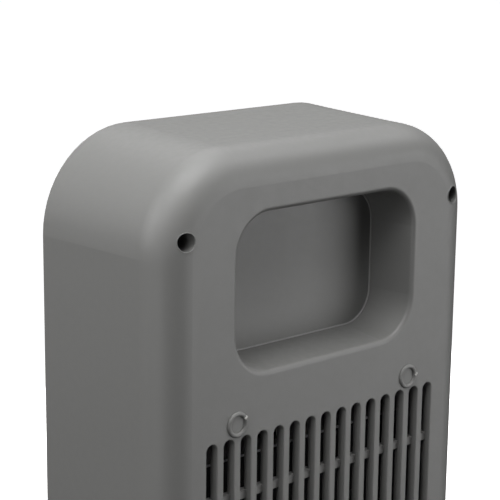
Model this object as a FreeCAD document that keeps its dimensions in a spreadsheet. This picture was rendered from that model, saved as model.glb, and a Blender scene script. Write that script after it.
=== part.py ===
import FreeCAD, Part
import math
import os
import re
from types import SimpleNamespace

import Sketcher

# A tower carbon heater on a round swivel base. The front faces -Y, the vented back +Y, and Z is up.
# The swivel axis is the Z axis and the floor is z = 0. Lengths are millimetres, angles degrees.

V = FreeCAD.Vector

SIZES = {
    # tower shell
    "tower_top": 620, "tower_bottom": 52, "back_y": 38, "shell_width": 161.1, "shell_depth": 64.3,
    "shell_draft": 2.4, "shell_wall": 2.6, "top_corner": 37.3, "bottom_corner": 26, "back_fillet": 13.2,
    # rear grille
    "slot_count": 15, "slot_pitch": 8, "slot_width": 4.8, "slot_length": 352, "slot_drop": 104.6,
    "slot_lip": 0.5, "grille_depth": 3.5, "grille_margin": 4,
    "rib_height": 3, "rib_recess": 2.2, "rib_depth": 3, "rib_pitch": 32, "rib_drop": 23, "rib_count": 11,
    # handle recess
    "recess_width": 90, "recess_height": 58, "recess_drop": 53.8, "recess_corner": 15.5,
    "recess_depth": 20, "recess_draft": 7, "recess_lip": 1.8,
    # ring bosses above the grille
    "ring_x": 44.3, "ring_rise": 5, "ring_radius": 4.75, "ring_width": 1.65, "ring_height": 0.85,
    "ring_round": 0.75, "nib_radius": 0.6, "nib_height": 0.25, "nib_far_turn": 35, "nib_near_turn": 8,
    # shell screws and their bosses
    "screw_x": 67.4, "screw_drop": 30.9, "bore_radius": 3.4, "bore_depth": 45, "boss_wall": 2.2,
    "boss_floor": 3,
    "case_screw_radius": 1.75, "case_screw_length": 14, "case_head_radius": 2.9, "case_head_height": 2.4,
    "small_screw_radius": 1.5, "small_head_radius": 2.8, "small_head_height": 1.8, "small_screw_length": 8,
    "cross_length_share": 1.3, "cross_width_share": 0.25,
    "thread_play": 0.05, "seat_play": 0.12, "hole_play": 0.3, "run_play": 0.05, "part_gap": 0.3,
    "overrun": 2,
    # neck pad in the shell floor
    "pad_radius": 24, "pad_height": 8, "cable_bore": 11, "pad_screw_ring": 19.5,
    # front frame
    "frame_depth": 12, "frame_bevel": 40, "frame_wall": 3, "lip_reach": 5, "lip_wall": 2, "lip_gap": 0.35,
    "lip_notch": 16,
    "window_half": 56, "window_low": 112, "window_drop": 116, "window_corner": 8, "post_radius": 4.5,
    "pilot_depth": 12, "small_pilot_depth": 8, "small_boss": 3.8, "front_edge_round": 1.5,
    # guard
    "rim_half": 59, "rim_margin": 3, "rim_wire": 1.5, "rim_corner": 9, "guard_wire": 1, "guard_stay": 1.5,
    "guard_bow": 9, "guard_pitch": 12.5, "guard_step_x": 54, "stay_x": 34, "stay_margin": 3, "stay_run": 6,
    "stay_bend": 4, "weld": 0.3, "wire_bend": 5,
    "clip_x": 30, "clip_rise": 10, "clip_width": 12, "clip_sheet": 1,
    # lamps and their brackets
    "lamp_x": 24, "lamp_y": -6, "quartz_radius": 5.5, "quartz_wall": 1.1, "element_radius": 2.2,
    "sleeve_radius": 3.2, "sleeve_length": 14, "ceramic_radius": 7.5, "ceramic_length": 28,
    "ceramic_above": 10, "ceramic_socket": 8, "collar_radius": 9.5, "collar_height": 2,
    "clip_ring": 10.3, "clip_ring_sheet": 0.8,
    "bracket_low": 117, "bracket_drop": 122, "bracket_half": 62, "bracket_front": -25, "bracket_back": 18,
    "sheet": 1, "flange": 10, "tab_inner": 56, "tab_outer": 70, "tab_height": 20, "tab_screw_x": 65,
    "tab_screw_reach": 12, "lead_hole": 6, "lead_hole_y": 9,
    # reflector and heat shield
    "trough_y": 8, "trough_depth": 12, "reflector_sheet": 0.6, "reflector_edge_x": 58,
    "shield_half": 60, "shield_front": -4, "shield_sheet": 0.6,
    "vent_radius": 3.5, "vent_columns": 4, "vent_column_pitch": 24, "vent_rows": 11, "vent_row_pitch": 32,
    # thermal cut-out and terminal block
    "cutout_y": -16, "cutout_radius": 8, "cutout_height": 7, "cutout_ear": 30, "cutout_screw_x": 11.5,
    "cutout_ear_width": 7, "cutout_ear_sheet": 0.8, "blade_x": 5, "blade_width": 4, "blade_height": 7,
    "blade_sheet": 0.8, "terminal_half": 16, "terminal_low": 80, "terminal_height": 16,
    "terminal_back": 1, "terminal_depth": 14, "terminal_tab": 16, "terminal_tab_gap": 8,
    "terminal_tab_screw": 12, "terminal_screw_pitch": 8, "terminal_screw_radius": 2.2,
    "terminal_screw_proud": 1,
    # controls
    "fascia_half": 58, "fascia_drop": 22, "fascia_height": 74, "fascia_corner": 15, "fascia_sheet": 2,
    "fascia_ledge": 4, "control_x": 26, "control_drop": 54, "plate_y": -24, "plate_sheet": 1.2,
    "plate_half": 62, "plate_drop": 28, "plate_height": 62, "plate_corner": 3, "plate_screw_x": 59,
    "plate_screw_margin": 8, "plate_screw_inset": 20,
    "knob_radius": 15, "knob_cap_radius": 13, "knob_height": 14, "knob_skirt": 4, "knob_gap": 0.6,
    "knob_roof": 2.5, "grip_width": 7, "grip_height": 3.5, "grip_length": 24, "knob_round": 1.2,
    "pointer_width": 1.4, "pointer_length": 8, "pointer_height": 0.5, "shaft_radius": 3, "shaft_tail": 11,
    "bush_radius": 5, "bush_reach": 7, "switch_side": 22, "switch_depth": 18, "timer_radius": 20,
    "timer_depth": 22, "nut_flats": 14, "nut_height": 3,
    "button_half": 8, "button_height": 8, "button_rise": 19, "button_proud": 2.5, "button_corner": 1.5,
    "button_flange": 2, "button_flange_sheet": 1.2, "button_travel": 2.5, "button_stem": 2.5,
    "button_housing": 12, "button_housing_depth": 14, "button_stem_tail": 3,
    "lens_radius": 3, "lens_drop": 12, "lens_proud": 0.8, "lens_depth": 3.4, "lamp_body": 4,
    "lamp_neck": 2.5, "lamp_body_depth": 11,
    # base
    "foot_height": 3, "foot_radius": 9, "foot_inset": 27, "foot_spigot": 3, "foot_round": 1,
    "base_sheet": 2.5, "base_radius": 115, "cover_wall": 3, "rim_height": 24, "plateau_radius": 40,
    "plateau_z": 36, "cover_round": 7, "cover_gap": 0.5, "base_screw_inset": 11, "base_boss": 5,
    "base_boss_height": 18.5, "ballast_inner": 58, "ballast_inset": 18, "ballast_height": 10,
    "gland_z": 12.5, "gland_radius": 5, "gland_bore": 3.4, "gland_flange": 6.6, "gland_flange_sheet": 2,
    "gland_recess": 0.6, "gland_seat": 0.4,
    # swivel
    "bush_outer": 17.5, "bush_low": 25.5, "collar_wall": 3, "washer_outer": 28, "washer_sheet": 1.5,
    "drum_radius": 29, "post_outer": 15, "post_bottom": 23.5, "hub_top": 31, "post_window_ring": 7.3,
    "post_window_radius": 2.9, "drum_round": 1.5, "head_well": 4.2,
    "head_well_depth": 8.2, "circlip_outer": 18, "circlip_sheet": 1, "groove_depth": 1.2,
    "motor_radius": 25, "motor_height": 16, "ear_span": 70, "ear_width": 12, "ear_sheet": 2,
    "ear_screw_x": 31, "motor_post": 4, "motor_bore_depth": 3, "motor_shaft_radius": 3,
    "shaft_clear": 0.5,
    # tip-over switch
    "tip_y": -44, "plunger_radius": 3.5, "plunger_stem": 2.5, "tip_travel": 4, "guide_radius": 6.5,
    "guide_rise": 2, "plunger_flange": 5.5, "plunger_flange_sheet": 1.2, "tip_switch_low": 18.5,
    "tip_switch_length": 26, "tip_switch_width": 8, "tip_switch_height": 8, "tip_screw_x": 10,
    "tip_post": 2.8, "tip_bore": 2.8, "tip_bore_depth": 2.5, "stem_entry": 1,
    "spring_radius": 3.6, "spring_wire": 0.4, "spring_turns": 4, "spring_points": 8,
    # leads
    "lead_radius": 1.5, "lead_bend": 4, "lead_end_bend": 3, "lead_arch": 11, "lead_x": 4,
    "lead_rise": 11, "lead_turn_rise": 6, "lead_bridge_rise": 14,
}

PLACES = {
    "half_width": "shell_width / 2",
    "mouth_y": "back_y - shell_depth",
    "front_y": "mouth_y - frame_depth",
    "window_high": "tower_top - window_drop",
    "bracket_high": "tower_top - bracket_drop",
    "fascia_high": "tower_top - fascia_drop",
    "fascia_low": "fascia_high - fascia_height",
    "control_z": "tower_top - control_drop",
    "plate_high": "tower_top - plate_drop",
    "plate_low": "plate_high - plate_height",
    "plate_screw_low": "plate_low + plate_screw_margin",
    "plate_screw_high": "plate_high - plate_screw_inset",
    "button_z": "fascia_low + button_rise",
    "lens_z": "fascia_high - lens_drop",
    "lead_turn_z": "fascia_low + lead_turn_rise",
    "lead_bridge_z": "fascia_low + lead_bridge_rise",
    "inner_y": "front_y + frame_wall",
    "cavity_half": "half_width - shell_wall",
    "cavity_top": "tower_top - shell_wall",
    "cavity_bottom": "tower_bottom + shell_wall",
    "cavity_top_corner": "top_corner - shell_wall",
    "cavity_bottom_corner": "bottom_corner - shell_wall",
    "cavity_depth": "shell_depth - shell_wall",
    "cavity_fillet": "back_fillet - shell_wall",
    "slot_top": "tower_top - slot_drop",
    "slot_bottom": "slot_top - slot_length",
    "slot_round": "slot_width / 2",
    "slot_run": "slot_pitch * (slot_count - 1)",
    "slot_x": "slot_run / 2",
    "grille_half": "slot_x + slot_round + grille_margin",
    "grille_top": "slot_top + grille_margin",
    "grille_bottom": "slot_bottom - grille_margin",
    "rib_top": "slot_top - rib_drop + rib_height / 2",
    "rib_bottom": "rib_top - rib_height",
    "rib_run": "rib_pitch * (rib_count - 1)",
    "rib_y": "back_y - rib_recess - rib_depth",
    "grille_y": "back_y - grille_depth",
    "recess_half": "recess_width / 2",
    "recess_mid": "tower_top - recess_drop",
    "recess_low": "recess_mid - recess_height / 2",
    "recess_high": "recess_mid + recess_height / 2",
    "pocket_half": "recess_half + shell_wall",
    "pocket_low": "recess_low - shell_wall",
    "pocket_high": "recess_high + shell_wall",
    "pocket_corner": "recess_corner + shell_wall",
    "pocket_depth": "recess_depth + shell_wall",
    "ring_z": "slot_top + ring_rise",
    "ring_hole": "ring_radius - ring_width",
    "nib_reach": "ring_radius - ring_width / 2",
    "nib_plus_x": "ring_x - nib_reach * cos(nib_far_turn * 1 deg)",
    "nib_plus_z": "ring_z + nib_reach * sin(nib_far_turn * 1 deg)",
    "nib_minus_x": "ring_x + nib_reach * cos(nib_near_turn * 1 deg)",
    "nib_minus_z": "ring_z + nib_reach * sin(nib_near_turn * 1 deg)",
    "screw_high": "tower_top - screw_drop",
    "screw_low": "tower_bottom + screw_drop",
    "screw_mid": "(screw_high + screw_low) / 2",
    "boss_radius": "bore_radius + boss_wall",
    "seat_y": "back_y - bore_depth",
    "pad_top": "tower_bottom + pad_height",
    "boss_end_y": "seat_y - boss_floor",
    "boss_length": "back_y - boss_end_y",
    "case_hole": "case_screw_radius + hole_play",
    "case_pilot": "case_screw_radius + thread_play",
    "small_hole": "small_screw_radius + hole_play",
    "small_pilot": "small_screw_radius + thread_play",
    "hollow_inset": "shell_wall + lip_gap + lip_wall",
    "hollow_half": "half_width - hollow_inset",
    "hollow_top": "tower_top - hollow_inset",
    "hollow_bottom": "tower_bottom + hollow_inset",
    "hollow_top_corner": "top_corner - hollow_inset",
    "hollow_bottom_corner": "bottom_corner - hollow_inset",
    "hollow_depth": "frame_depth - frame_wall",
    "lip_half": "cavity_half - lip_gap",
    "lip_top": "cavity_top - lip_gap",
    "lip_bottom": "cavity_bottom + lip_gap",
    "lip_top_corner": "cavity_top_corner - lip_gap",
    "lip_bottom_corner": "cavity_bottom_corner - lip_gap",
    "post_length": "boss_end_y - inner_y",
    "panel_half": "fascia_half - seat_play",
    "panel_low": "fascia_low + seat_play",
    "panel_high": "fascia_high - seat_play",
    "panel_corner": "fascia_corner - seat_play",
    "opening_half": "fascia_half - fascia_ledge",
    "opening_low": "fascia_low + fascia_ledge",
    "opening_high": "fascia_high - fascia_ledge",
    "opening_corner": "fascia_corner - fascia_ledge",
    "rim_y": "inner_y + rim_wire",
    "rim_low": "window_low - rim_margin",
    "rim_high": "window_high + rim_margin",
    "stay_low": "window_low + stay_margin",
    "stay_high": "window_high - stay_margin",
    "clip_y": "inner_y + 2 * rim_wire",
    "clip_low": "window_low - clip_rise",
    "clip_high": "window_high + clip_rise",
    "clip_boss_length": "clip_y - inner_y",
    "clip_back": "clip_y + clip_sheet",
    "clip_pilot_depth": "clip_boss_length + part_gap",
    "small_half_screw": "small_screw_length / 2",
    "bracket_boss_length": "bracket_front - inner_y",
    "bracket_low_top": "bracket_low + sheet",
    "flange_half": "shield_half - part_gap",
    "bracket_high_top": "bracket_high + sheet",
    "tab_low": "bracket_low - tab_screw_reach",
    "tab_high": "bracket_high_top + tab_screw_reach",
    "control_boss_length": "plate_y - inner_y",
    "plate_back": "plate_y + plate_sheet",
    "fascia_back": "front_y + fascia_sheet",
    "shaft_hole": "shaft_radius + run_play",
    "fascia_hole": "shaft_radius + 2 * hole_play",
    "bush_hole": "bush_radius + thread_play",
    "lens_hole": "lens_radius + run_play",
    "neck_hole": "lamp_neck + thread_play",
    "button_low": "button_z - button_height / 2",
    "button_high": "button_z + button_height / 2",
    "button_gap_half": "button_half + part_gap",
    "button_gap_low": "button_low - part_gap",
    "button_gap_high": "button_high + part_gap",
    "button_gap_corner": "button_corner + part_gap",
    "button_flange_half": "button_half + button_flange",
    "button_flange_low": "button_low - button_flange",
    "button_flange_high": "button_high + button_flange",
    "button_front": "front_y - button_proud",
    "button_rear": "fascia_back + part_gap",
    "button_length": "button_rear - button_front",
    "stem_hole": "button_stem + hole_play",
    "button_bore_depth": "button_stem_tail + button_travel + overrun",
    "knob_back": "front_y - knob_gap",
    "knob_bore_depth": "knob_height - knob_roof",
    "knob_shoulder": "knob_skirt + knob_round",
    "grip_half_width": "grip_width / 2",
    "grip_half": "grip_length / 2",
    "grip_corner": "grip_width / 3",
    "pointer_half": "pointer_width / 2",
    "pointer_end": "grip_half - knob_round",
    "pointer_start": "pointer_end - pointer_length",
    "button_round": "button_corner / 2",
    "plate_top_z": "foot_height + base_sheet",
    "cover_inner": "base_radius - cover_wall",
    "foot_ring": "base_radius - foot_inset",
    "base_screw_ring": "cover_inner - base_screw_inset",
    "ballast_outer": "cover_inner - ballast_inset",
    "ballast_screw_ring": "(ballast_inner + ballast_outer) / 2",
    "base_disc": "cover_inner - cover_gap",
    "plateau_under": "plateau_z - cover_wall",
    "rim_under": "rim_height - cover_wall",
    "collar_outer": "bush_outer + collar_wall",
    "bush_inner": "post_outer + run_play",
    "washer_top": "plateau_z + washer_sheet",
    "drum_bottom": "washer_top + part_gap",
    "circlip_top": "bush_low - part_gap",
    "circlip_low": "circlip_top - circlip_sheet",
    "groove_radius": "post_outer - groove_depth",
    "motor_top": "plate_top_z + motor_height",
    "ear_low": "motor_top - ear_sheet",
    "motor_bore": "motor_shaft_radius + run_play",
    "shaft_low": "motor_top - motor_bore_depth + shaft_clear",
    "shaft_high": "hub_top - shaft_clear",
    "guide_top": "plate_top_z + guide_rise",
    "flange_low": "guide_top + tip_travel + part_gap",
    "flange_top": "flange_low + plunger_flange_sheet",
    "stem_top": "tip_switch_low + stem_entry",
    "guide_bore": "plunger_radius + run_play",
    "tip_switch_top": "tip_switch_low + tip_switch_height",
    "foot_diag": "foot_ring * cos(45 deg)",
    "base_screw_far": "base_screw_ring * cos(22.5 deg)",
    "base_screw_near": "base_screw_ring * sin(22.5 deg)",
    "ballast_far": "ballast_screw_ring * cos(30 deg)",
    "ballast_near": "ballast_screw_ring * sin(30 deg)",
    "window_far": "post_window_ring * cos(30 deg)",
    "window_near": "post_window_ring * sin(30 deg)",
    "ballast_top": "plate_top_z + ballast_height",
    "spigot_hole": "foot_spigot + thread_play",
    "tip_post_height": "tip_switch_low - plate_top_z",
    "motor_post_height": "ear_low - plate_top_z",
    "terminal_top": "terminal_low + terminal_height",
    "terminal_front": "terminal_back - terminal_depth",
    "ceramic_low_bottom": "bracket_low_top + ceramic_above - ceramic_length",
    "ceramic_high_top": "bracket_high - ceramic_above + ceramic_length",
    "quartz_low": "bracket_low_top + ceramic_above - ceramic_socket",
    "quartz_high": "bracket_high - ceramic_above + ceramic_socket",
}

doc = FreeCAD.newDocument("carbon_heater")


def fill_sheet(name, rows):
    """Spreadsheet with one alias a row, the value beside its name."""
    sheet = doc.addObject("Spreadsheet::Sheet", name)
    for row, (alias, text) in enumerate(rows, start=1):
        sheet.set("A%d" % row, alias)
        sheet.set("B%d" % row, text)
        sheet.setAlias("B%d" % row, alias)
    return sheet


def linked(text):
    """The expression with every sheet name pointed at its sheet."""
    def owner(found):
        word = found.group(0)
        if word in SIZES:
            return "Sizes." + word
        return "Places." + word if word in PLACES else word
    return re.sub(r"[A-Za-z_][A-Za-z_0-9]*", owner, text)


sizes_sheet = fill_sheet("Sizes", [(name, str(size)) for name, size in SIZES.items()])
doc.recompute()
places_sheet = fill_sheet("Places", [(name, "=" + linked(text)) for name, text in PLACES.items()])
doc.recompute()
s = SimpleNamespace(**{name: float(sizes_sheet.get(name)) for name in SIZES},
                    **{name: float(places_sheet.get(name)) for name in PLACES})
SNAP = 0.001 * s.shell_width
NODES = []


def number(name):
    """Value of a sheet name, of a sheet name with a minus sign, or of "0"."""
    if name == "0":
        return 0
    return -getattr(s, name[1:]) if name.startswith("-") else getattr(s, name)


def keep(label, obj):
    """Marks an object as one finished piece of the heater."""
    obj.Label = label
    NODES.append(obj)
    return obj


# Sketch helpers

def new_sketch(body, role, name, level="0"):
    """Sketch on an origin plane of its body, moved to the level along that plane's axis."""
    plane = next(feature for feature in body.Origin.OriginFeatures if feature.Role == role)
    sketch = body.newObject("Sketcher::SketchObject", name)
    sketch.AttachmentSupport = (plane, [""])
    sketch.MapMode = "FlatFace"
    if level != "0":
        sign = "-" if role == "XZ_Plane" else ""
        sketch.setExpression("AttachmentOffset.Base.z", linked("%s(%s)" % (sign, level)))
    return sketch


def fix(sketch, kind, name, *places):
    """Constraint whose size follows a sheet name."""
    index = sketch.addConstraint(Sketcher.Constraint(kind, *places, number(name)))
    sketch.setExpression("Constraints[%d]" % index, linked(name))


def fix_point(sketch, geometry, point, x, y):
    """Ties a point to the sheet names of its two coordinates."""
    for kind, name, axis in (("DistanceX", x, -2), ("DistanceY", y, -1)):
        if name == "0":
            sketch.addConstraint(Sketcher.Constraint("PointOnObject", geometry, point, axis))
        else:
            fix(sketch, kind, name, -1, 1, geometry, point)


def draw_circle(sketch, x, y, radius):
    geometry = sketch.addGeometry(Part.Circle(V(number(x), number(y)), V(0, 0, 1), number(radius)))
    fix_point(sketch, geometry, 3, x, y)
    fix(sketch, "Radius", radius, geometry)


def draw_chain(sketch, points):
    """Closed straight-sided outline through points given by sheet names."""
    base = sketch.GeometryCount
    ring = [V(number(x), number(y)) for x, y in points]
    for start, end in zip(ring, ring[1:] + ring[:1]):
        sketch.addGeometry(Part.LineSegment(start, end))
    for index, (x, y) in enumerate(points):
        follower = base + (index + 1) % len(points)
        sketch.addConstraint(Sketcher.Constraint("Coincident", base + index, 2, follower, 1))
        fix_point(sketch, base + index, 1, x, y)


def draw_rounded(sketch, left, right, low, high, low_corner, high_corner):
    """Upright rounded rectangle given by the sheet names of its sides and corner radii."""
    x0, x1, y0, y1 = (number(name) for name in (left, right, low, high))
    a, b = number(low_corner), number(high_corner)
    base = sketch.GeometryCount
    for start, end in ((V(x0 + a, y0), V(x1 - a, y0)), (V(x1, y0 + a), V(x1, y1 - b)),
                       (V(x1 - b, y1), V(x0 + b, y1)), (V(x0, y1 - b), V(x0, y0 + a))):
        sketch.addGeometry(Part.LineSegment(start, end))
    quarter = math.pi / 2
    corners = ((V(x1 - a, y0 + a), a, 3), (V(x1 - b, y1 - b), b, 0),
               (V(x0 + b, y1 - b), b, 1), (V(x0 + a, y0 + a), a, 2))
    for centre, radius, turn in corners:
        circle = Part.Circle(centre, V(0, 0, 1), radius)
        sketch.addGeometry(Part.ArcOfCircle(circle, turn * quarter, (turn + 1) * quarter))
    for side in range(4):
        arc, following = base + 4 + side, base + (side + 1) % 4
        sketch.addConstraint(Sketcher.Constraint("Tangent", base + side, 2, arc, 1))
        sketch.addConstraint(Sketcher.Constraint("Tangent", arc, 2, following, 1))
        kind = "Horizontal" if side % 2 == 0 else "Vertical"
        sketch.addConstraint(Sketcher.Constraint(kind, base + side))
    sketch.addConstraint(Sketcher.Constraint("Equal", base + 4, base + 7))
    sketch.addConstraint(Sketcher.Constraint("Equal", base + 5, base + 6))
    fix(sketch, "Radius", low_corner, base + 4)
    fix(sketch, "Radius", high_corner, base + 5)
    fix(sketch, "DistanceX", right, -1, 1, base + 1, 1)
    fix(sketch, "DistanceX", left, -1, 1, base + 3, 1)
    fix(sketch, "DistanceY", low, -1, 1, base, 1)
    fix(sketch, "DistanceY", high, -1, 1, base + 2, 1)


def draw_slot(sketch, x, low, high, radius):
    """Upright slot with full round ends, from low to high."""
    middle, r = number(x), number(radius)
    y0, y1 = number(low) + r, number(high) - r
    base = sketch.GeometryCount
    sketch.addGeometry(Part.LineSegment(V(middle + r, y0), V(middle + r, y1)))
    sketch.addGeometry(Part.ArcOfCircle(Part.Circle(V(middle, y1), V(0, 0, 1), r), 0, math.pi))
    sketch.addGeometry(Part.LineSegment(V(middle - r, y1), V(middle - r, y0)))
    sketch.addGeometry(Part.ArcOfCircle(Part.Circle(V(middle, y0), V(0, 0, 1), r), math.pi, 2 * math.pi))
    for side in range(4):
        following = base + (side + 1) % 4
        sketch.addConstraint(Sketcher.Constraint("Tangent", base + side, 2, following, 1))
    sketch.addConstraint(Sketcher.Constraint("Vertical", base))
    sketch.addConstraint(Sketcher.Constraint("Vertical", base + 2))
    fix(sketch, "Radius", radius, base + 1)
    for geometry, level in ((base + 1, high + " - " + radius), (base + 3, low + " + " + radius)):
        height = y1 if geometry == base + 1 else y0
        index = sketch.addConstraint(Sketcher.Constraint("DistanceY", -1, 1, geometry, 3, height))
        sketch.setExpression("Constraints[%d]" % index, linked(level))
    fix(sketch, "DistanceX", x, -1, 1, base + 1, 3)


# Body helpers

def new_body(label):
    return keep(label, doc.addObject("PartDesign::Body", label))


def grow(kind, name, sketch, length, reverse=False, taper=None):
    """Pad or pocket of a sketch, by a length and an optional taper from the sheets."""
    body = sketch.getParentGeoFeatureGroup()
    feature = body.newObject("PartDesign::" + kind, name)
    feature.Profile = sketch
    feature.Reversed = reverse
    feature.setExpression("Length", linked(length))
    if taper:
        feature.setExpression("TaperAngle", linked(taper))
    return feature


def round_edges(name, feature, radius, wanted, kind="Fillet"):
    """Fillet or chamfer on the edges of a feature that pass a test."""
    doc.recompute()
    names = ["Edge%d" % (index + 1) for index, edge in enumerate(feature.Shape.Edges) if wanted(edge)]
    dressed = feature.getParentGeoFeatureGroup().newObject("PartDesign::" + kind, name)
    dressed.Base = (feature, names)
    dressed.setExpression("Radius" if kind == "Fillet" else "Size", linked(radius))
    return dressed


def turned(name, sketch, axis="V_Axis"):
    """Revolution of a sketch about one of its own axes."""
    feature = sketch.getParentGeoFeatureGroup().newObject("PartDesign::Revolution", name)
    feature.Profile = sketch
    feature.ReferenceAxis = (sketch, [axis])
    return feature


def array(name, feature, role, run, count, reverse=False):
    """Evenly spaced copies of a feature along an origin axis."""
    body = feature.getParentGeoFeatureGroup()
    axis = next(item for item in body.Origin.OriginFeatures if item.Role == role)
    pattern = body.newObject("PartDesign::LinearPattern", name)
    pattern.Originals = [feature]
    pattern.Direction = (axis, [""])
    pattern.Reversed = reverse
    pattern.setExpression("Length", linked(run))
    pattern.setExpression("Occurrences", linked(count))
    body.Tip = pattern
    return pattern


def flat_at(axis, level):
    """Test for edges that lie flat at a level along an axis."""
    def test(edge):
        low = getattr(edge.BoundBox, axis + "Min")
        high = getattr(edge.BoundBox, axis + "Max")
        return abs(low - level) < SNAP and abs(high - level) < SNAP
    return test


def mouth_in(level, half, low, high):
    """Test for edges that lie in an upright face at a level, within a width and two heights."""
    flat = flat_at("Y", level)

    def test(edge):
        box = edge.BoundBox
        return (flat(edge) and max(abs(box.XMin), abs(box.XMax)) < half + SNAP
                and low - SNAP < box.ZMin and box.ZMax < high + SNAP)
    return test


def ring_at(axis, level, radius):
    """Test for round edges of one radius that lie flat at a level."""
    flat = flat_at(axis, level)

    def test(edge):
        return (flat(edge) and isinstance(edge.Curve, Part.Circle)
                and abs(edge.Curve.Radius - radius) < SNAP)
    return test


# Primitive and shape helpers

def bound_box(name, low, high):
    """Part box between two corners given as expressions."""
    box = doc.addObject("Part::Box", name)
    for side, axis, start, end in zip(("Length", "Width", "Height"), "xyz", low, high):
        box.setExpression(side, linked("(%s) - (%s)" % (end, start)))
        box.setExpression("Placement.Base." + axis, linked(start))
    return box


AXIS_TURNS = {"x": FreeCAD.Rotation(V(0, 1, 0), 90), "y": FreeCAD.Rotation(V(1, 0, 0), -90),
              "z": FreeCAD.Rotation()}


def bound_cylinder(name, radius, start, end, at, axis="z"):
    """Part cylinder along an axis, from start to end, with its middle line at two expressions."""
    cylinder = doc.addObject("Part::Cylinder", name)
    cylinder.Placement = FreeCAD.Placement(V(0, 0, 0), AXIS_TURNS[axis])
    cylinder.setExpression("Radius", linked(radius))
    cylinder.setExpression("Height", linked("(%s) - (%s)" % (end, start)))
    across = iter(at)
    for letter in "xyz":
        text = start if letter == axis else next(across)
        cylinder.setExpression("Placement.Base." + letter, linked(text))
    return cylinder


def joined(name, shapes):
    """Fusion of several primitives."""
    fusion = doc.addObject("Part::MultiFuse", name)
    fusion.Shapes = shapes
    return fusion


def cut(name, base, tools):
    """The base less its tools."""
    result = doc.addObject("Part::Cut", name)
    result.Base = base
    result.Tool = tools[0] if len(tools) == 1 else joined(name + "_tools", tools)
    return result


def group(label, members):
    """Like pieces that share one node."""
    compound = doc.addObject("Part::Compound", label)
    compound.Links = members
    return keep(label, compound)


def feature(label, shape):
    """Piece whose shape is worked out in this file from the sheet sizes."""
    obj = doc.addObject("Part::Feature", label)
    obj.Shape = shape
    return keep(label, obj)


def rounded_path(points, bend):
    """Straight runs through the points, joined by tangent arcs of one radius."""
    edges = []
    start = points[0]
    for before, corner, after in zip(points, points[1:], points[2:]):
        back = (before - corner).normalize()
        on = (after - corner).normalize()
        half = back.getAngle(on) / 2
        middle = (back + on).normalize()
        reach = bend / math.tan(half)
        first, last = corner + back * reach, corner + on * reach
        centre = corner + middle * (bend / math.sin(half))
        edges.append(Part.makeLine(start, first))
        edges.append(Part.Arc(first, centre - middle * bend, last).toShape())
        start = last
    edges.append(Part.makeLine(start, points[-1]))
    return Part.Wire(edges)


def rod(points, radius, bend):
    """Round bar along straight runs and tangent arcs."""
    path = rounded_path(points, bend)
    section = Part.Wire(Part.makeCircle(radius, points[0], points[1] - points[0]))
    return path.makePipeShell([section], True, False)


def screws(label, kind, places, direction, length=None):
    """Pan-head screws with a cross recess, each seated under its head at a place."""
    radius = getattr(s, kind + "_screw_radius")
    reach = length or getattr(s, kind + "_screw_length")
    head_radius = getattr(s, kind + "_head_radius")
    head_height = getattr(s, kind + "_head_height")
    cross_length = s.cross_length_share * head_radius
    cross_width = s.cross_width_share * head_radius
    head = Part.makeCylinder(head_radius, head_height)
    crown = [edge for edge in head.Edges if edge.BoundBox.ZMin > head_height / 2]
    head = head.makeFillet(head_height / 2, crown)
    for turn in (0, 90):
        bar = Part.makeBox(cross_length, cross_width, head_height,
                           V(-cross_length / 2, -cross_width / 2, head_height / 2))
        bar.rotate(V(0, 0, 0), V(0, 0, 1), turn)
        head = head.cut(bar)
    screw = head.fuse(Part.makeCylinder(radius, reach, V(0, 0, 0), V(0, 0, -1))).removeSplitter()
    turn = FreeCAD.Rotation(V(0, 0, -1), direction)
    copies = []
    for place in places:
        copy = screw.copy()
        copy.Placement = FreeCAD.Placement(place, turn)
        copies.append(copy)
    return feature(label, Part.makeCompound(copies))


# Rear shell: one moulded tub with the handle recess, grille, screw bosses and ring bosses

shell = new_body("rear_shell")
tub_sketch = new_sketch(shell, "XZ_Plane", "TubOutline", "mouth_y")
draw_rounded(tub_sketch, "-half_width", "half_width", "tower_bottom", "tower_top",
             "bottom_corner", "top_corner")
tub = grow("Pad", "Tub", tub_sketch, "shell_depth", reverse=True, taper="-shell_draft")
round_edges("BackRound", tub, "back_fillet", flat_at("Y", s.back_y))
core = doc.addObject("PartDesign::Body", "ShellCore")
cavity_sketch = new_sketch(core, "XZ_Plane", "CavityOutline", "mouth_y")
draw_rounded(cavity_sketch, "-cavity_half", "cavity_half", "cavity_bottom", "cavity_top",
             "cavity_bottom_corner", "cavity_top_corner")
cavity = grow("Pad", "Cavity", cavity_sketch, "cavity_depth", reverse=True, taper="-shell_draft")
round_edges("CavityRound", cavity, "cavity_fillet", flat_at("Y", s.back_y - s.shell_wall))
SCREW_SPOTS = [(x, z) for x in ("-screw_x", "screw_x") for z in ("screw_low", "screw_mid", "screw_high")]
boss_sketch = new_sketch(core, "XZ_Plane", "ScrewBosses", "boss_end_y")
for spot in SCREW_SPOTS:
    draw_circle(boss_sketch, *spot, "boss_radius")
grow("Pocket", "Bosses", boss_sketch, "boss_length")
hollow = shell.newObject("PartDesign::Boolean", "Hollow")
hollow.setObjects([core])
hollow.Type = "Cut"
pocket_sketch = new_sketch(shell, "XZ_Plane", "RecessSurround", "back_y - shell_wall / 2")
draw_rounded(pocket_sketch, "-pocket_half", "pocket_half", "pocket_low", "pocket_high",
             "pocket_corner", "pocket_corner")
grow("Pad", "RecessWalls", pocket_sketch, "pocket_depth - shell_wall / 2", taper="-recess_draft")
recess_sketch = new_sketch(shell, "XZ_Plane", "RecessOutline", "back_y")
draw_rounded(recess_sketch, "-recess_half", "recess_half", "recess_low", "recess_high",
             "recess_corner", "recess_corner")
recess = grow("Pocket", "Recess", recess_sketch, "recess_depth", reverse=True, taper="-recess_draft")
round_edges("RecessLip", recess, "recess_lip",
            mouth_in(s.back_y, s.recess_half, s.recess_low, s.recess_high))
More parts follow.
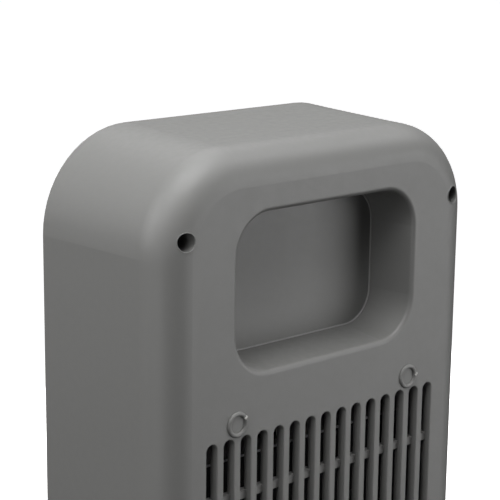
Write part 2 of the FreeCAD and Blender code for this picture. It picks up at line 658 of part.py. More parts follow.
bore_sketch = new_sketch(shell, "XZ_Plane", "ScrewWells", "back_y + overrun")
hole_sketch = new_sketch(shell, "XZ_Plane", "ScrewHoles", "seat_y + overrun")
for spot in SCREW_SPOTS:
    draw_circle(bore_sketch, *spot, "bore_radius")
    draw_circle(hole_sketch, *spot, "case_hole")
grow("Pocket", "Wells", bore_sketch, "bore_depth + overrun", reverse=True)
grow("Pocket", "Holes", hole_sketch, "boss_floor + 2 * overrun", reverse=True)
foot_sketch = new_sketch(shell, "XY_Plane", "NeckPad", "tower_bottom")
draw_circle(foot_sketch, "0", "0", "pad_radius")
grow("Pad", "NeckSeat", foot_sketch, "pad_height")
cable_sketch = new_sketch(shell, "XY_Plane", "CableHole", "tower_bottom - overrun")
draw_circle(cable_sketch, "0", "0", "cable_bore")
grow("Pocket", "CableBore", cable_sketch, "pad_height + 2 * overrun", reverse=True)
NECK_SPOTS = [("pad_screw_ring", "0"), ("-pad_screw_ring", "0"),
              ("0", "pad_screw_ring"), ("0", "-pad_screw_ring")]
neck_screw_sketch = new_sketch(shell, "XY_Plane", "NeckScrewHoles", "tower_bottom - overrun")
for spot in NECK_SPOTS:
    draw_circle(neck_screw_sketch, *spot, "case_pilot")
grow("Pocket", "NeckPilots", neck_screw_sketch, "pad_height + 2 * overrun", reverse=True)
grille_sketch = new_sketch(shell, "XZ_Plane", "GrilleField", "grille_y")
draw_chain(grille_sketch, [("-grille_half", "grille_bottom"), ("grille_half", "grille_bottom"),
                           ("grille_half", "grille_top"), ("-grille_half", "grille_top")])
grow("Pad", "GrilleBack", grille_sketch, "grille_depth - shell_wall / 2", reverse=True)
slot_sketch = new_sketch(shell, "XZ_Plane", "SlotOutline", "back_y + overrun")
draw_slot(slot_sketch, "-slot_x", "slot_bottom", "slot_top", "slot_round")
slot = grow("Pocket", "Slot", slot_sketch, "grille_depth + 2 * overrun", reverse=True)
slots = array("Slots", slot, "X_Axis", "slot_run", "slot_count")

round_edges("SlotLips", slots, "slot_lip",
            mouth_in(s.back_y, s.grille_half, s.slot_bottom, s.slot_top))
rib_sketch = new_sketch(shell, "XZ_Plane", "RibOutline", "rib_y")
draw_chain(rib_sketch, [("-grille_half", "rib_bottom"), ("grille_half", "rib_bottom"),
                        ("grille_half", "rib_top"), ("-grille_half", "rib_top")])
rib = grow("Pad", "Rib", rib_sketch, "rib_depth", reverse=True)
array("Ribs", rib, "Z_Axis", "rib_run", "rib_count", reverse=True)
ring_sketch = new_sketch(shell, "XZ_Plane", "RingBosses", "back_y - ring_height")
for x in ("-ring_x", "ring_x"):
    draw_circle(ring_sketch, x, "ring_z", "ring_radius")
    draw_circle(ring_sketch, x, "ring_z", "ring_hole")
rings = grow("Pad", "Rings", ring_sketch, "2 * ring_height", reverse=True)


def on_ring_crest(edge):
    """Edges at the crest of the two ring bosses."""
    return flat_at("Y", s.back_y + s.ring_height)(edge)


round_edges("RingRound", rings, "ring_round", on_ring_crest)
nib_sketch = new_sketch(shell, "XZ_Plane", "RingNibs", "back_y")
draw_circle(nib_sketch, "nib_plus_x", "nib_plus_z", "nib_radius")
draw_circle(nib_sketch, "-nib_minus_x", "nib_minus_z", "nib_radius")
grow("Pad", "Nibs", nib_sketch, "ring_height + nib_height", reverse=True)


# Front frame: bevelled surround with the window, the fascia seat, a locating lip and all the bosses

frame = new_body("front_frame")
bezel_sketch = new_sketch(frame, "XZ_Plane", "BezelOutline", "mouth_y")
draw_rounded(bezel_sketch, "-half_width", "half_width", "tower_bottom", "tower_top",
             "bottom_corner", "top_corner")
grow("Pad", "Bezel", bezel_sketch, "frame_depth", taper="-frame_bevel")
back_sketch = new_sketch(frame, "XZ_Plane", "BezelHollow", "mouth_y")
draw_rounded(back_sketch, "-hollow_half", "hollow_half", "hollow_bottom", "hollow_top",
             "hollow_bottom_corner", "hollow_top_corner")
grow("Pocket", "BezelBack", back_sketch, "hollow_depth", reverse=True, taper="-frame_bevel")
window_sketch = new_sketch(frame, "XZ_Plane", "WindowOutline", "front_y - overrun")
draw_rounded(window_sketch, "-window_half", "window_half", "window_low", "window_high",
             "window_corner", "window_corner")
window = grow("Pocket", "Window", window_sketch, "frame_wall + 2 * overrun")
round_edges("FrontRound", window, "front_edge_round", flat_at("Y", s.front_y))
seat_sketch = new_sketch(frame, "XZ_Plane", "FasciaSeat", "front_y - overrun")
draw_rounded(seat_sketch, "-fascia_half", "fascia_half", "fascia_low", "fascia_high",
             "fascia_corner", "fascia_corner")
grow("Pocket", "Seat", seat_sketch, "fascia_sheet + overrun")
opening_sketch = new_sketch(frame, "XZ_Plane", "FasciaOpening", "front_y - overrun")
draw_rounded(opening_sketch, "-opening_half", "opening_half", "opening_low", "opening_high",
             "opening_corner", "opening_corner")
grow("Pocket", "Opening", opening_sketch, "frame_wall + 2 * overrun")
lip_sketch = new_sketch(frame, "XZ_Plane", "LipOutline", "mouth_y")
draw_rounded(lip_sketch, "-lip_half", "lip_half", "lip_bottom", "lip_top", "lip_bottom_corner",
             "lip_top_corner")
draw_rounded(lip_sketch, "-hollow_half", "hollow_half", "hollow_bottom", "hollow_top",
             "hollow_bottom_corner", "hollow_top_corner")
grow("Pad", "Lip", lip_sketch, "lip_reach", reverse=True)
notch_sketch = new_sketch(frame, "XZ_Plane", "LipNotch", "mouth_y")
draw_chain(notch_sketch, [("-lip_notch", "tower_bottom"), ("lip_notch", "tower_bottom"),
                          ("lip_notch", "pad_top"), ("-lip_notch", "pad_top")])
grow("Pocket", "Notch", notch_sketch, "lip_reach + overrun")
TAB_SPOTS = [(x, z) for x in ("-tab_screw_x", "tab_screw_x") for z in ("tab_low", "tab_high")]
CLIP_SPOTS = [(x, z) for x in ("-clip_x", "clip_x") for z in ("clip_low", "clip_high")]
PLATE_SPOTS = [(x, z) for x in ("-plate_screw_x", "plate_screw_x")
               for z in ("plate_screw_low", "plate_screw_high")]
for name, spots, boss, length, pilot, depth in (
        ("Post", SCREW_SPOTS, "post_radius", "post_length", "case_pilot", "pilot_depth"),
        ("TabBoss", TAB_SPOTS, "small_boss", "bracket_boss_length", "small_pilot", "small_pilot_depth"),
        ("ClipBoss", CLIP_SPOTS, "small_boss", "clip_boss_length", "small_pilot", "clip_pilot_depth"),
        ("PlateBoss", PLATE_SPOTS, "small_boss", "control_boss_length", "small_pilot",
         "small_pilot_depth")):
    post_sketch = new_sketch(frame, "XZ_Plane", name + "Outline", "inner_y")
    pilot_sketch = new_sketch(frame, "XZ_Plane", name + "Pilots", "inner_y + %s + overrun" % length)
    for spot in spots:
        draw_circle(post_sketch, *spot, boss)
        draw_circle(pilot_sketch, *spot, pilot)
    grow("Pad", name, post_sketch, length, reverse=True)
    grow("Pocket", name + "Holes", pilot_sketch, depth + " + overrun", reverse=True)

screws("shell_screws", "case", [V(number(x), s.seat_y, number(z)) for x, z in SCREW_SPOTS], V(0, -1, 0))

# Guard: bent round wires welded to three stays and to a rim that lies behind the frame


def guard_shape():
    """The welded guard as one solid."""
    def across(z):
        front = s.rim_y - s.guard_bow
        side = s.guard_step_x - s.guard_bow
        return [V(-s.rim_half, s.rim_y, z), V(-s.guard_step_x, s.rim_y, z), V(-side, front, z),
                V(side, front, z), V(s.guard_step_x, s.rim_y, z), V(s.rim_half, s.rim_y, z)]

    count = int((s.rim_high - s.rim_low) / s.guard_pitch)
    pitch = (s.rim_high - s.rim_low) / count
    wires = [rod(across(s.rim_low + step * pitch), s.guard_wire, s.wire_bend) for step in range(1, count)]
    stay_y = s.rim_y - s.guard_bow + s.guard_wire + s.guard_stay - s.weld
    for x in (-s.stay_x, 0, s.stay_x):
        wires.append(rod([V(x, s.rim_y, s.rim_low), V(x, s.rim_y, s.stay_low),
                          V(x, stay_y, s.stay_low + s.stay_run), V(x, stay_y, s.stay_high - s.stay_run),
                          V(x, s.rim_y, s.stay_high), V(x, s.rim_y, s.rim_high)],
                         s.guard_stay, s.stay_bend))
    rim = rod([V(0, s.rim_y, s.rim_low), V(s.rim_half, s.rim_y, s.rim_low),
               V(s.rim_half, s.rim_y, s.rim_high), V(-s.rim_half, s.rim_y, s.rim_high),
               V(-s.rim_half, s.rim_y, s.rim_low), V(0, s.rim_y, s.rim_low)], s.rim_wire, s.rim_corner)
    return rim.fuse(wires)


feature("front_guard", guard_shape())
clips = []
for index, (x, z) in enumerate(CLIP_SPOTS):
    low, high = ("clip_low - small_boss", "rim_low + rim_wire")
    if z == "clip_high":
        low, high = ("rim_high - rim_wire", "clip_high + small_boss")
    plate = bound_box("ClipPlate%d" % index, (x + " - clip_width / 2", "clip_y", low),
                      (x + " + clip_width / 2", "clip_back", high))
    hole = bound_cylinder("ClipHole%d" % index, "small_hole", "clip_y - overrun", "clip_back + overrun",
                          (x, z), "y")
    clips.append(cut("Clip%d" % index, plate, [hole]))
group("guard_clips", clips)
screws("guard_clip_screws", "small", [V(number(x), s.clip_back, number(z)) for x, z in CLIP_SPOTS],
       V(0, -1, 0), s.small_half_screw)

# Lamp brackets: folded steel, the upper and the lower one mirrored


def bracket(label, low, high, tab_low, tab_high, flange_low, flange_high, screw_z, extra=()):
    """Bracket plate with two front tabs, a rear flange and its holes."""
    parts = [bound_box(label + "_plate", ("-bracket_half", "bracket_front", low),
                       ("bracket_half", "bracket_back", high)),
             bound_box(label + "_flange", ("-flange_half", "bracket_back - sheet", flange_low),
                       ("flange_half", "bracket_back", flange_high)),
             bound_box(label + "_tab_left", ("-tab_outer", "bracket_front", tab_low),
                       ("-tab_inner", "bracket_front + sheet", tab_high)),
             bound_box(label + "_tab_right", ("tab_inner", "bracket_front", tab_low),
                       ("tab_outer", "bracket_front + sheet", tab_high))]
    parts.extend(extra)
    through = (low + " - overrun", high + " + overrun")
    holes = [bound_cylinder(label + "_lead_hole", "lead_hole", *through, ("0", "lead_hole_y"))]
    for side in ("-", ""):
        holes.append(bound_cylinder(label + "_lamp_hole", "ceramic_radius + run_play", *through,
                                    (side + "lamp_x", "lamp_y")))
        holes.append(bound_cylinder(label + "_tab_hole", "small_hole", "bracket_front - overrun",
                                    "bracket_front + sheet + overrun", (side + "tab_screw_x", screw_z), "y"))
    return parts, holes


parts, holes = bracket("upper", "bracket_high", "bracket_high_top", "bracket_high",
                       "bracket_high_top + tab_height", "bracket_high - flange", "bracket_high_top",
                       "tab_high")
for side in ("-", ""):
    holes.append(bound_cylinder("cutout_screw_hole", "small_pilot", "bracket_high - overrun",
                                "bracket_high_top + overrun", (side + "cutout_screw_x", "cutout_y")))
keep("upper_bracket", cut("UpperBracket", joined("UpperBracketSheet", parts), holes))
terminal_tabs = [bound_box("terminal_tab", (low, "terminal_back", "terminal_low - sheet"),
                           (high, "terminal_back + sheet", "bracket_low_top"))
                 for low, high in (("-terminal_tab", "-terminal_tab_gap"),
                                   ("terminal_tab_gap", "terminal_tab"))]
parts, holes = bracket("lower", "bracket_low", "bracket_low_top", "bracket_low - tab_height",
                       "bracket_low_top", "bracket_low", "bracket_low_top + flange", "tab_low",
                       terminal_tabs)
for side in ("-", ""):
    holes.append(bound_cylinder("terminal_screw_hole", "small_hole", "terminal_back - overrun",
                                "terminal_back + sheet + overrun",
                                (side + "terminal_tab_screw", "terminal_low + terminal_height / 2"), "y"))
keep("lower_bracket", cut("LowerBracket", joined("LowerBracketSheet", parts), holes))
screws("bracket_screws", "small",
       [V(number(x), s.bracket_front + s.sheet, number(z)) for x, z in TAB_SPOTS], V(0, -1, 0))

# Reflector and heat shield between the brackets


def folded(points_and_arcs, thickness):
    """Sheet of one thickness along an open outline in the XY plane, up to the upper bracket."""
    outline = Part.Wire(points_and_arcs)
    face = outline.makeOffset2D(-thickness, 0, True, True)
    face.translate(V(0, 0, s.bracket_low_top))
    return face.extrude(V(0, 0, s.bracket_high - s.bracket_low_top))


def reflector_outline():
    """Two round troughs that meet in a ridge, with flared sides."""
    ridge_y = s.trough_y - s.trough_depth
    front_y = s.bracket_front + s.part_gap
    left_edge, right_edge = V(-s.reflector_edge_x, front_y), V(s.reflector_edge_x, front_y)
    left, right, ridge = V(-2 * s.lamp_x, ridge_y), V(2 * s.lamp_x, ridge_y), V(0, ridge_y)
    return [Part.makeLine(left_edge, left), Part.Arc(left, V(-s.lamp_x, s.trough_y), ridge).toShape(),
            Part.Arc(ridge, V(s.lamp_x, s.trough_y), right).toShape(), Part.makeLine(right, right_edge)]


feature("reflector", folded(reflector_outline(), s.reflector_sheet))
shield_corners = [V(-s.shield_half, s.shield_front), V(-s.shield_half, s.bracket_back),
                  V(s.shield_half, s.bracket_back), V(s.shield_half, s.shield_front)]
shield = folded([Part.makeLine(start, end) for start, end in zip(shield_corners, shield_corners[1:])],
                s.shield_sheet)
for row in range(int(s.vent_rows)):
    for column in range(int(s.vent_columns)):
        x = (column - (s.vent_columns - 1) / 2) * s.vent_column_pitch
        z = (s.bracket_low + s.bracket_high) / 2 + (row - (s.vent_rows - 1) / 2) * s.vent_row_pitch
        shield = shield.cut(Part.makeCylinder(s.vent_radius, s.flange, V(x, s.bracket_back - s.sheet, z),
                                              V(0, 1, 0)))
feature("heat_shield", shield)

# Lamps: quartz tubes with a carbon element each, held by ceramic ends


def ceramic_end():
    """Ceramic end at the origin, its socket up and its collar under the bracket plate."""
    body = Part.makeCylinder(s.ceramic_radius, s.ceramic_length, V(0, 0, s.ceramic_above - s.ceramic_length))
    collar = Part.makeCylinder(s.collar_radius, s.collar_height, V(0, 0, -s.sheet - s.collar_height))
    socket = Part.makeCylinder(s.quartz_radius + s.thread_play, s.ceramic_socket,
                               V(0, 0, s.ceramic_above - s.ceramic_socket))
    return body.fuse(collar).cut(socket).removeSplitter()


def at_lamp_ends(shape):
    """The shape at the lower end of both lamps, and turned over at the upper end."""
    copies = []
    for x in (-s.lamp_x, s.lamp_x):
        for z, turn in ((s.bracket_low_top, 0), (s.bracket_high, 180)):
            copy = shape.copy()
            copy.Placement = FreeCAD.Placement(V(x, s.lamp_y, z), FreeCAD.Rotation(V(0, 1, 0), turn))
            copies.append(copy)
    return Part.makeCompound(copies)


feature("ceramic_ends", at_lamp_ends(ceramic_end()))
ring_level = -s.sheet - s.collar_height - s.clip_ring_sheet
spring_ring = Part.makeCylinder(s.clip_ring, s.clip_ring_sheet, V(0, 0, ring_level)).cut(
    Part.makeCylinder(s.ceramic_radius + s.thread_play, s.clip_ring_sheet, V(0, 0, ring_level)))
feature("lamp_spring_rings", at_lamp_ends(spring_ring))
for side, sign in (("left", ""), ("right", "-")):
    at = (sign + "lamp_x", "lamp_y")
    outer = bound_cylinder("QuartzOuter_" + side, "quartz_radius", "quartz_low", "quartz_high", at)
    inner = bound_cylinder("QuartzInner_" + side, "quartz_radius - quartz_wall", "quartz_low - overrun",
                           "quartz_high + overrun", at)
    keep("quartz_tube_" + side, cut("Quartz_" + side, outer, [inner]))
    keep("carbon_element_" + side, joined("Carbon_" + side, [
        bound_cylinder("Rope_" + side, "element_radius", "quartz_low", "quartz_high", at),
        bound_cylinder("SleeveLow_" + side, "sleeve_radius", "quartz_low", "quartz_low + sleeve_length", at),
        bound_cylinder("SleeveHigh_" + side, "sleeve_radius", "quartz_high - sleeve_length",
                       "quartz_high", at)]))

# Thermal cut-out on the upper bracket and terminal block on the lower one

cutout_top = "bracket_high_top + cutout_height"
ear = cut("CutoutEars", bound_box("CutoutStrap", ("-cutout_ear / 2", "cutout_y - cutout_ear_width / 2",
                                                 "bracket_high_top"),
                                  ("cutout_ear / 2", "cutout_y + cutout_ear_width / 2",
                                   "bracket_high_top + cutout_ear_sheet")),
          [bound_cylinder("CutoutEarHole" + side, "small_hole", "bracket_high_top - overrun",
                          "bracket_high_top + overrun", (side + "cutout_screw_x", "cutout_y"))
           for side in ("-", "")])
blades = [bound_box("CutoutBlade", (side + "blade_x - blade_width / 2", "cutout_y - blade_sheet / 2",
                                    cutout_top + " - overrun"),
                    (side + "blade_x + blade_width / 2", "cutout_y + blade_sheet / 2",
                     cutout_top + " + blade_height")) for side in ("-", "")]
keep("thermal_cutout", joined("Cutout", [
    bound_cylinder("CutoutCan", "cutout_radius", "bracket_high_top", cutout_top, ("0", "cutout_y")),
    ear] + blades))
screws("cutout_screws", "small",
       [V(x, s.cutout_y, s.bracket_high_top + s.cutout_ear_sheet)
        for x in (-s.cutout_screw_x, s.cutout_screw_x)], V(0, 0, -1), s.small_half_screw)
terminal_mid = "terminal_low + terminal_height / 2"
TERMINALS = ["%d * terminal_screw_pitch / 2" % step for step in (-3, -1, 1, 3)]
wells = [bound_cylinder("TerminalWell", "terminal_screw_radius + thread_play", "terminal_front - overrun",
                        "terminal_front + terminal_depth / 2", (x, terminal_mid), "y") for x in TERMINALS]
pilots = [bound_cylinder("TerminalPilot", "small_pilot", "terminal_back - small_half_screw",
                         "terminal_back + overrun", (side + "terminal_tab_screw", terminal_mid), "y")
          for side in ("-", "")]
keep("terminal_block", cut("Terminal", bound_box(
    "TerminalBody", ("-terminal_half", "terminal_front", "terminal_low"),
    ("terminal_half", "terminal_back", "terminal_top")), wells + pilots))
group("terminal_screws", [
    bound_cylinder("TerminalScrew", "terminal_screw_radius", "terminal_front - terminal_screw_proud",
                   "terminal_front + terminal_depth / 2", (x, terminal_mid), "y") for x in TERMINALS])
screws("terminal_block_screws", "small",
       [V(x, s.terminal_back + s.sheet, s.terminal_low + s.terminal_height / 2)
        for x in (-s.terminal_tab_screw, s.terminal_tab_screw)], V(0, -1, 0), s.small_half_screw)


# Controls: steel plate with the switches, glossy fascia, two knobs, a push button and a pilot lens

control = new_body("control_plate")
control_sketch = new_sketch(control, "XZ_Plane", "PlateOutline", "plate_y")
draw_rounded(control_sketch, "-plate_half", "plate_half", "plate_low", "plate_high",
             "plate_corner", "plate_corner")
for spot in PLATE_SPOTS:
    draw_circle(control_sketch, *spot, "small_hole")
for side in ("-", ""):
    draw_circle(control_sketch, side + "control_x", "control_z", "bush_hole")
draw_circle(control_sketch, "0", "button_z", "stem_hole")
draw_circle(control_sketch, "0", "lens_z", "neck_hole")
grow("Pad", "Plate", control_sketch, "plate_sheet", reverse=True)
screws("control_plate_screws", "small",
       [V(number(x), s.plate_back, number(z)) for x, z in PLATE_SPOTS], V(0, -1, 0))
fascia = new_body("control_fascia")
fascia_sketch = new_sketch(fascia, "XZ_Plane", "FasciaOutline", "front_y")
draw_rounded(fascia_sketch, "-panel_half", "panel_half", "panel_low", "panel_high",
             "panel_corner", "panel_corner")
for side in ("-", ""):
    draw_circle(fascia_sketch, side + "control_x", "control_z", "fascia_hole")
draw_circle(fascia_sketch, "0", "lens_z", "lens_hole")
draw_rounded(fascia_sketch, "-button_gap_half", "button_gap_half", "button_gap_low", "button_gap_high",
             "button_gap_corner", "button_gap_corner")
grow("Pad", "Panel", fascia_sketch, "fascia_sheet", reverse=True)

SHAFT_END = "knob_back - knob_bore_depth + part_gap"
BUSH_TIP = "plate_y - bush_reach"


def switch_unit(label, body, side):
    """Switch housing behind the plate, with its threaded bush through the plate and a blind bore."""
    at = (side + "control_x", "control_z")
    bush = bound_cylinder(label + "_bush", "bush_radius", BUSH_TIP, "plate_back + overrun", at, "y")
    bore = bound_cylinder(label + "_bore", "shaft_hole", BUSH_TIP + " - overrun",
                          "plate_back + shaft_tail", at, "y")
    keep(label, cut(label + "_unit", joined(label + "_housing", [body, bush]), [bore]))


heat_box = bound_box("HeatSwitchBox", ("-control_x - switch_side / 2", "plate_back",
                                       "control_z - switch_side / 2"),
                     ("-control_x + switch_side / 2", "plate_back + switch_depth",
                      "control_z + switch_side / 2"))
timer_can = bound_cylinder("TimerCan", "timer_radius", "plate_back", "plate_back + timer_depth",
                           ("control_x", "control_z"), "y")
switch_unit("heat_switch", heat_box, "-")
switch_unit("timer_unit", timer_can, "")


def switch_nut(x):
    """Hexagon nut on a switch bush, tight against the control plate."""
    corner = s.nut_flats / 2 / math.cos(math.pi / 6)
    corners = [V(x + corner * math.cos(step * math.pi / 3), s.plate_y - s.nut_height,
                 s.control_z + corner * math.sin(step * math.pi / 3)) for step in range(7)]
    hexagon = Part.Face(Part.makePolygon(corners)).extrude(V(0, s.nut_height, 0))
    bore = Part.makeCylinder(s.bush_hole, s.nut_height, V(x, s.plate_y - s.nut_height, s.control_z),
                             V(0, 1, 0))
    return hexagon.cut(bore)


feature("switch_nuts", Part.makeCompound([switch_nut(-s.control_x), switch_nut(s.control_x)]))
for name, side in (("heat", "-"), ("timer", "")):
    keep(name + "_shaft", bound_cylinder(name + "_spindle", "shaft_radius", SHAFT_END,
                                         "plate_back + shaft_tail - part_gap",
                                         (side + "control_x", "control_z"), "y"))
    knob = new_body(name + "_knob")
    knob_sketch = new_sketch(knob, "XZ_Plane", "KnobProfile")
    draw_chain(knob_sketch, [("0", "0"), ("knob_radius", "0"), ("knob_radius", "knob_skirt"),
                             ("knob_cap_radius", "knob_shoulder"), ("knob_cap_radius", "knob_height"),
                             ("0", "knob_height")])
    knob_body = turned("KnobTurned", knob_sketch)
    round_edges("KnobRound", knob_body, "knob_round", ring_at("Z", s.knob_height, s.knob_cap_radius))
    grip_sketch = new_sketch(knob, "XY_Plane", "GripOutline", "knob_skirt")
    draw_rounded(grip_sketch, "-grip_half_width", "grip_half_width", "-grip_half", "grip_half",
                 "grip_corner", "grip_corner")
    grip = grow("Pad", "Grip", grip_sketch, "knob_height - knob_skirt + grip_height")
    round_edges("GripRound", grip, "knob_round", flat_at("Z", s.knob_height + s.grip_height))
    pointer_sketch = new_sketch(knob, "XY_Plane", "PointerOutline", "knob_height")
    draw_chain(pointer_sketch, [("-pointer_half", "pointer_start"), ("pointer_half", "pointer_start"),
                                ("pointer_half", "pointer_end"), ("-pointer_half", "pointer_end")])
    grow("Pad", "Pointer", pointer_sketch, "grip_height + pointer_height")
    bore_outline = new_sketch(knob, "XY_Plane", "ShaftBore")
    draw_circle(bore_outline, "0", "0", "shaft_radius")
    grow("Pocket", "Bore", bore_outline, "knob_bore_depth", reverse=True)
    knob.Placement = FreeCAD.Placement(V(0, 0, 0), FreeCAD.Rotation(V(1, 0, 0), 90))
    for letter, text in (("x", side + "control_x"), ("y", "knob_back"), ("z", "control_z")):
        knob.setExpression("Placement.Base." + letter, linked(text))

button = new_body("swing_button")
cap_sketch = new_sketch(button, "XZ_Plane", "CapOutline", "button_front")
draw_rounded(cap_sketch, "-button_half", "button_half", "button_low", "button_high",
             "button_corner", "button_corner")
cap = grow("Pad", "Cap", cap_sketch, "button_length", reverse=True)
round_edges("CapRound", cap, "button_round", flat_at("Y", s.button_front))
flange_sketch = new_sketch(button, "XZ_Plane", "FlangeOutline", "button_rear")
draw_rounded(flange_sketch, "-button_flange_half", "button_flange_half", "button_flange_low",
             "button_flange_high", "button_corner", "button_corner")
grow("Pad", "Flange", flange_sketch, "button_flange_sheet", reverse=True)
stem_sketch = new_sketch(button, "XZ_Plane", "StemOutline", "button_rear")
draw_circle(stem_sketch, "0", "button_z", "button_stem")
grow("Pad", "Stem", stem_sketch, "plate_back + button_stem_tail - button_rear", reverse=True)
keep("swing_switch", cut("SwingSwitch", bound_box(
    "SwingHousing", ("-button_housing / 2", "plate_back", "button_z - button_housing / 2"),
    ("button_housing / 2", "plate_back + button_housing_depth", "button_z + button_housing / 2")),
    [bound_cylinder("SwingBore", "button_stem + run_play", "plate_back - overrun",
                    "plate_back + button_bore_depth", ("0", "button_z"), "y")]))
LENS_BACK = "front_y - lens_proud + lens_depth"
keep("indicator_lens", bound_cylinder("Lens", "lens_radius", "front_y - lens_proud", LENS_BACK,
                                      ("0", "lens_z"), "y"))
keep("pilot_lamp", joined("Pilot", [
    bound_cylinder("PilotNeck", "lamp_neck", LENS_BACK, "plate_back + overrun", ("0", "lens_z"), "y"),
    bound_cylinder("PilotBody", "lamp_body", "plate_back", "plate_back + lamp_body_depth",
                   ("0", "lens_z"), "y")]))

# Base: moulded cover, steel bottom plate, cast ballast ring, rubber feet and cord gland

cover = new_body("base_cover")
cover_sketch = new_sketch(cover, "XZ_Plane", "CoverProfile")
draw_chain(cover_sketch, [("bush_outer", "bush_low"), ("collar_outer", "bush_low"),
                          ("collar_outer", "plateau_under"), ("plateau_radius", "plateau_under"),
                          ("cover_inner", "rim_under"), ("cover_inner", "foot_height"),
                          ("base_radius", "foot_height"), ("base_radius", "rim_height"),
                          ("plateau_radius", "plateau_z"), ("bush_outer", "plateau_z")])
dome = turned("Dome", cover_sketch)


def on_cover_shoulder(edge):
    """The two outer rings where the dome meets the rim and the plateau."""
    return (ring_at("Z", s.rim_height, s.base_radius)(edge)
            or ring_at("Z", s.plateau_z, s.plateau_radius)(edge))


round_edges("CoverRound", dome, "cover_round", on_cover_shoulder)
BASE_SPOTS = [("base_screw_far", "base_screw_near"), ("-base_screw_near", "base_screw_far"),
              ("-base_screw_far", "-base_screw_near"), ("base_screw_near", "-base_screw_far")]
base_boss_sketch = new_sketch(cover, "XY_Plane", "CoverBosses", "plate_top_z")
base_pilot_sketch = new_sketch(cover, "XY_Plane", "CoverPilots", "plate_top_z - overrun")
for spot in BASE_SPOTS:
    draw_circle(base_boss_sketch, *spot, "base_boss")
    draw_circle(base_pilot_sketch, *spot, "case_pilot")
grow("Pad", "CoverBoss", base_boss_sketch, "base_boss_height")
grow("Pocket", "CoverPilot", base_pilot_sketch, "pilot_depth + overrun", reverse=True)
gland_sketch = new_sketch(cover, "XZ_Plane", "GlandHole", "base_radius + overrun")
draw_circle(gland_sketch, "0", "gland_z", "gland_radius")
grow("Pocket", "GlandOpening", gland_sketch, "cover_wall + gland_recess + 2 * overrun", reverse=True)

plate = new_body("base_plate")
disc_sketch = new_sketch(plate, "XY_Plane", "DiscOutline", "foot_height")
draw_circle(disc_sketch, "0", "0", "base_disc")
grow("Pad", "Disc", disc_sketch, "base_sheet")
for name, spots, radius, height in (
        ("MotorPosts", [("ear_screw_x", "0"), ("-ear_screw_x", "0")], "motor_post", "motor_post_height"),
        ("SwitchPosts", [("tip_screw_x", "tip_y"), ("-tip_screw_x", "tip_y")], "tip_post",
         "tip_post_height"),
        ("Guide", [("0", "tip_y")], "guide_radius", "guide_rise")):
    post_sketch = new_sketch(plate, "XY_Plane", name + "Outline", "plate_top_z")
    for spot in spots:
        draw_circle(post_sketch, *spot, radius)
    grow("Pad", name, post_sketch, height)
FOOT_SPOTS = [(x, y) for x in ("-foot_diag", "foot_diag") for y in ("-foot_diag", "foot_diag")]
BALLAST_SPOTS = [("0", "ballast_screw_ring"), ("-ballast_far", "-ballast_near"),
                 ("ballast_far", "-ballast_near")]
for name, spots, radius, depth in (
        ("FootHoles", FOOT_SPOTS, "spigot_hole", "base_sheet + overrun"),
        ("CoverScrewHoles", BASE_SPOTS, "case_hole", "base_sheet + overrun"),
        ("BallastPilots", BALLAST_SPOTS, "case_pilot", "base_sheet + overrun"),
        ("GuideBore", [("0", "tip_y")], "guide_bore", "base_sheet + guide_rise + 2 * overrun"),
        ("MotorPilots", [("ear_screw_x", "0"), ("-ear_screw_x", "0")], "small_pilot",
         "base_sheet + motor_post_height + 2 * overrun"),
        ("SwitchPilots", [("tip_screw_x", "tip_y"), ("-tip_screw_x", "tip_y")], "small_pilot",
         "base_sheet + tip_post_height + 2 * overrun")):
    hole_outline = new_sketch(plate, "XY_Plane", name + "Outline", "foot_height - overrun")
    for spot in spots:
        draw_circle(hole_outline, *spot, radius)
    grow("Pocket", name, hole_outline, depth + " + overrun", reverse=True)
screws("base_screws", "case", [V(number(x), number(y), s.foot_height) for x, y in BASE_SPOTS], V(0, 0, 1))

ballast_holes = [bound_cylinder("BallastHole%d" % index, "case_hole", "plate_top_z - overrun",
                                "ballast_top + overrun", spot) for index, spot in enumerate(BALLAST_SPOTS)]
keep("ballast_ring", cut("Ballast", bound_cylinder("BallastDisc", "ballast_outer", "plate_top_z",
                                                   "ballast_top", ("0", "0")),
                         [bound_cylinder("BallastEye", "ballast_inner", "plate_top_z - overrun",
                                         "ballast_top + overrun", ("0", "0"))] + ballast_holes))
screws("ballast_screws", "case", [V(number(x), number(y), s.ballast_top) for x, y in BALLAST_SPOTS],
       V(0, 0, -1), s.ballast_height + s.base_sheet)
feet = []
for index, (x, y) in enumerate(FOOT_SPOTS):
    pad_disc = bound_cylinder("FootPad%d" % index, "foot_radius", "0", "foot_height", (x, y))
    spigot = bound_cylinder("FootSpigot%d" % index, "foot_spigot", "foot_height - foot_round",
                            "plate_top_z", (x, y))
    feet.append(joined("Foot%d" % index, [pad_disc, spigot]))
group("rubber_feet", feet)
gland = joined("GlandSolid", [
    bound_cylinder("GlandNeck", "gland_radius", "cover_inner - gland_seat", "base_radius - gland_recess",
                   ("0", "gland_z"), "y"),
    bound_cylinder("GlandFlange", "gland_flange", "cover_inner - gland_seat - gland_flange_sheet",
                   "cover_inner - gland_seat", ("0", "gland_z"), "y")])
keep("cord_gland", cut("Gland", gland, [
    bound_cylinder("GlandBore", "gland_bore", "cover_inner - gland_seat - gland_flange_sheet - overrun",
                   "base_radius + overrun", ("0", "gland_z"), "y")]))

# Swivel: neck post bolted under the tower, nylon bush and washer, circlip, motor and its shaft

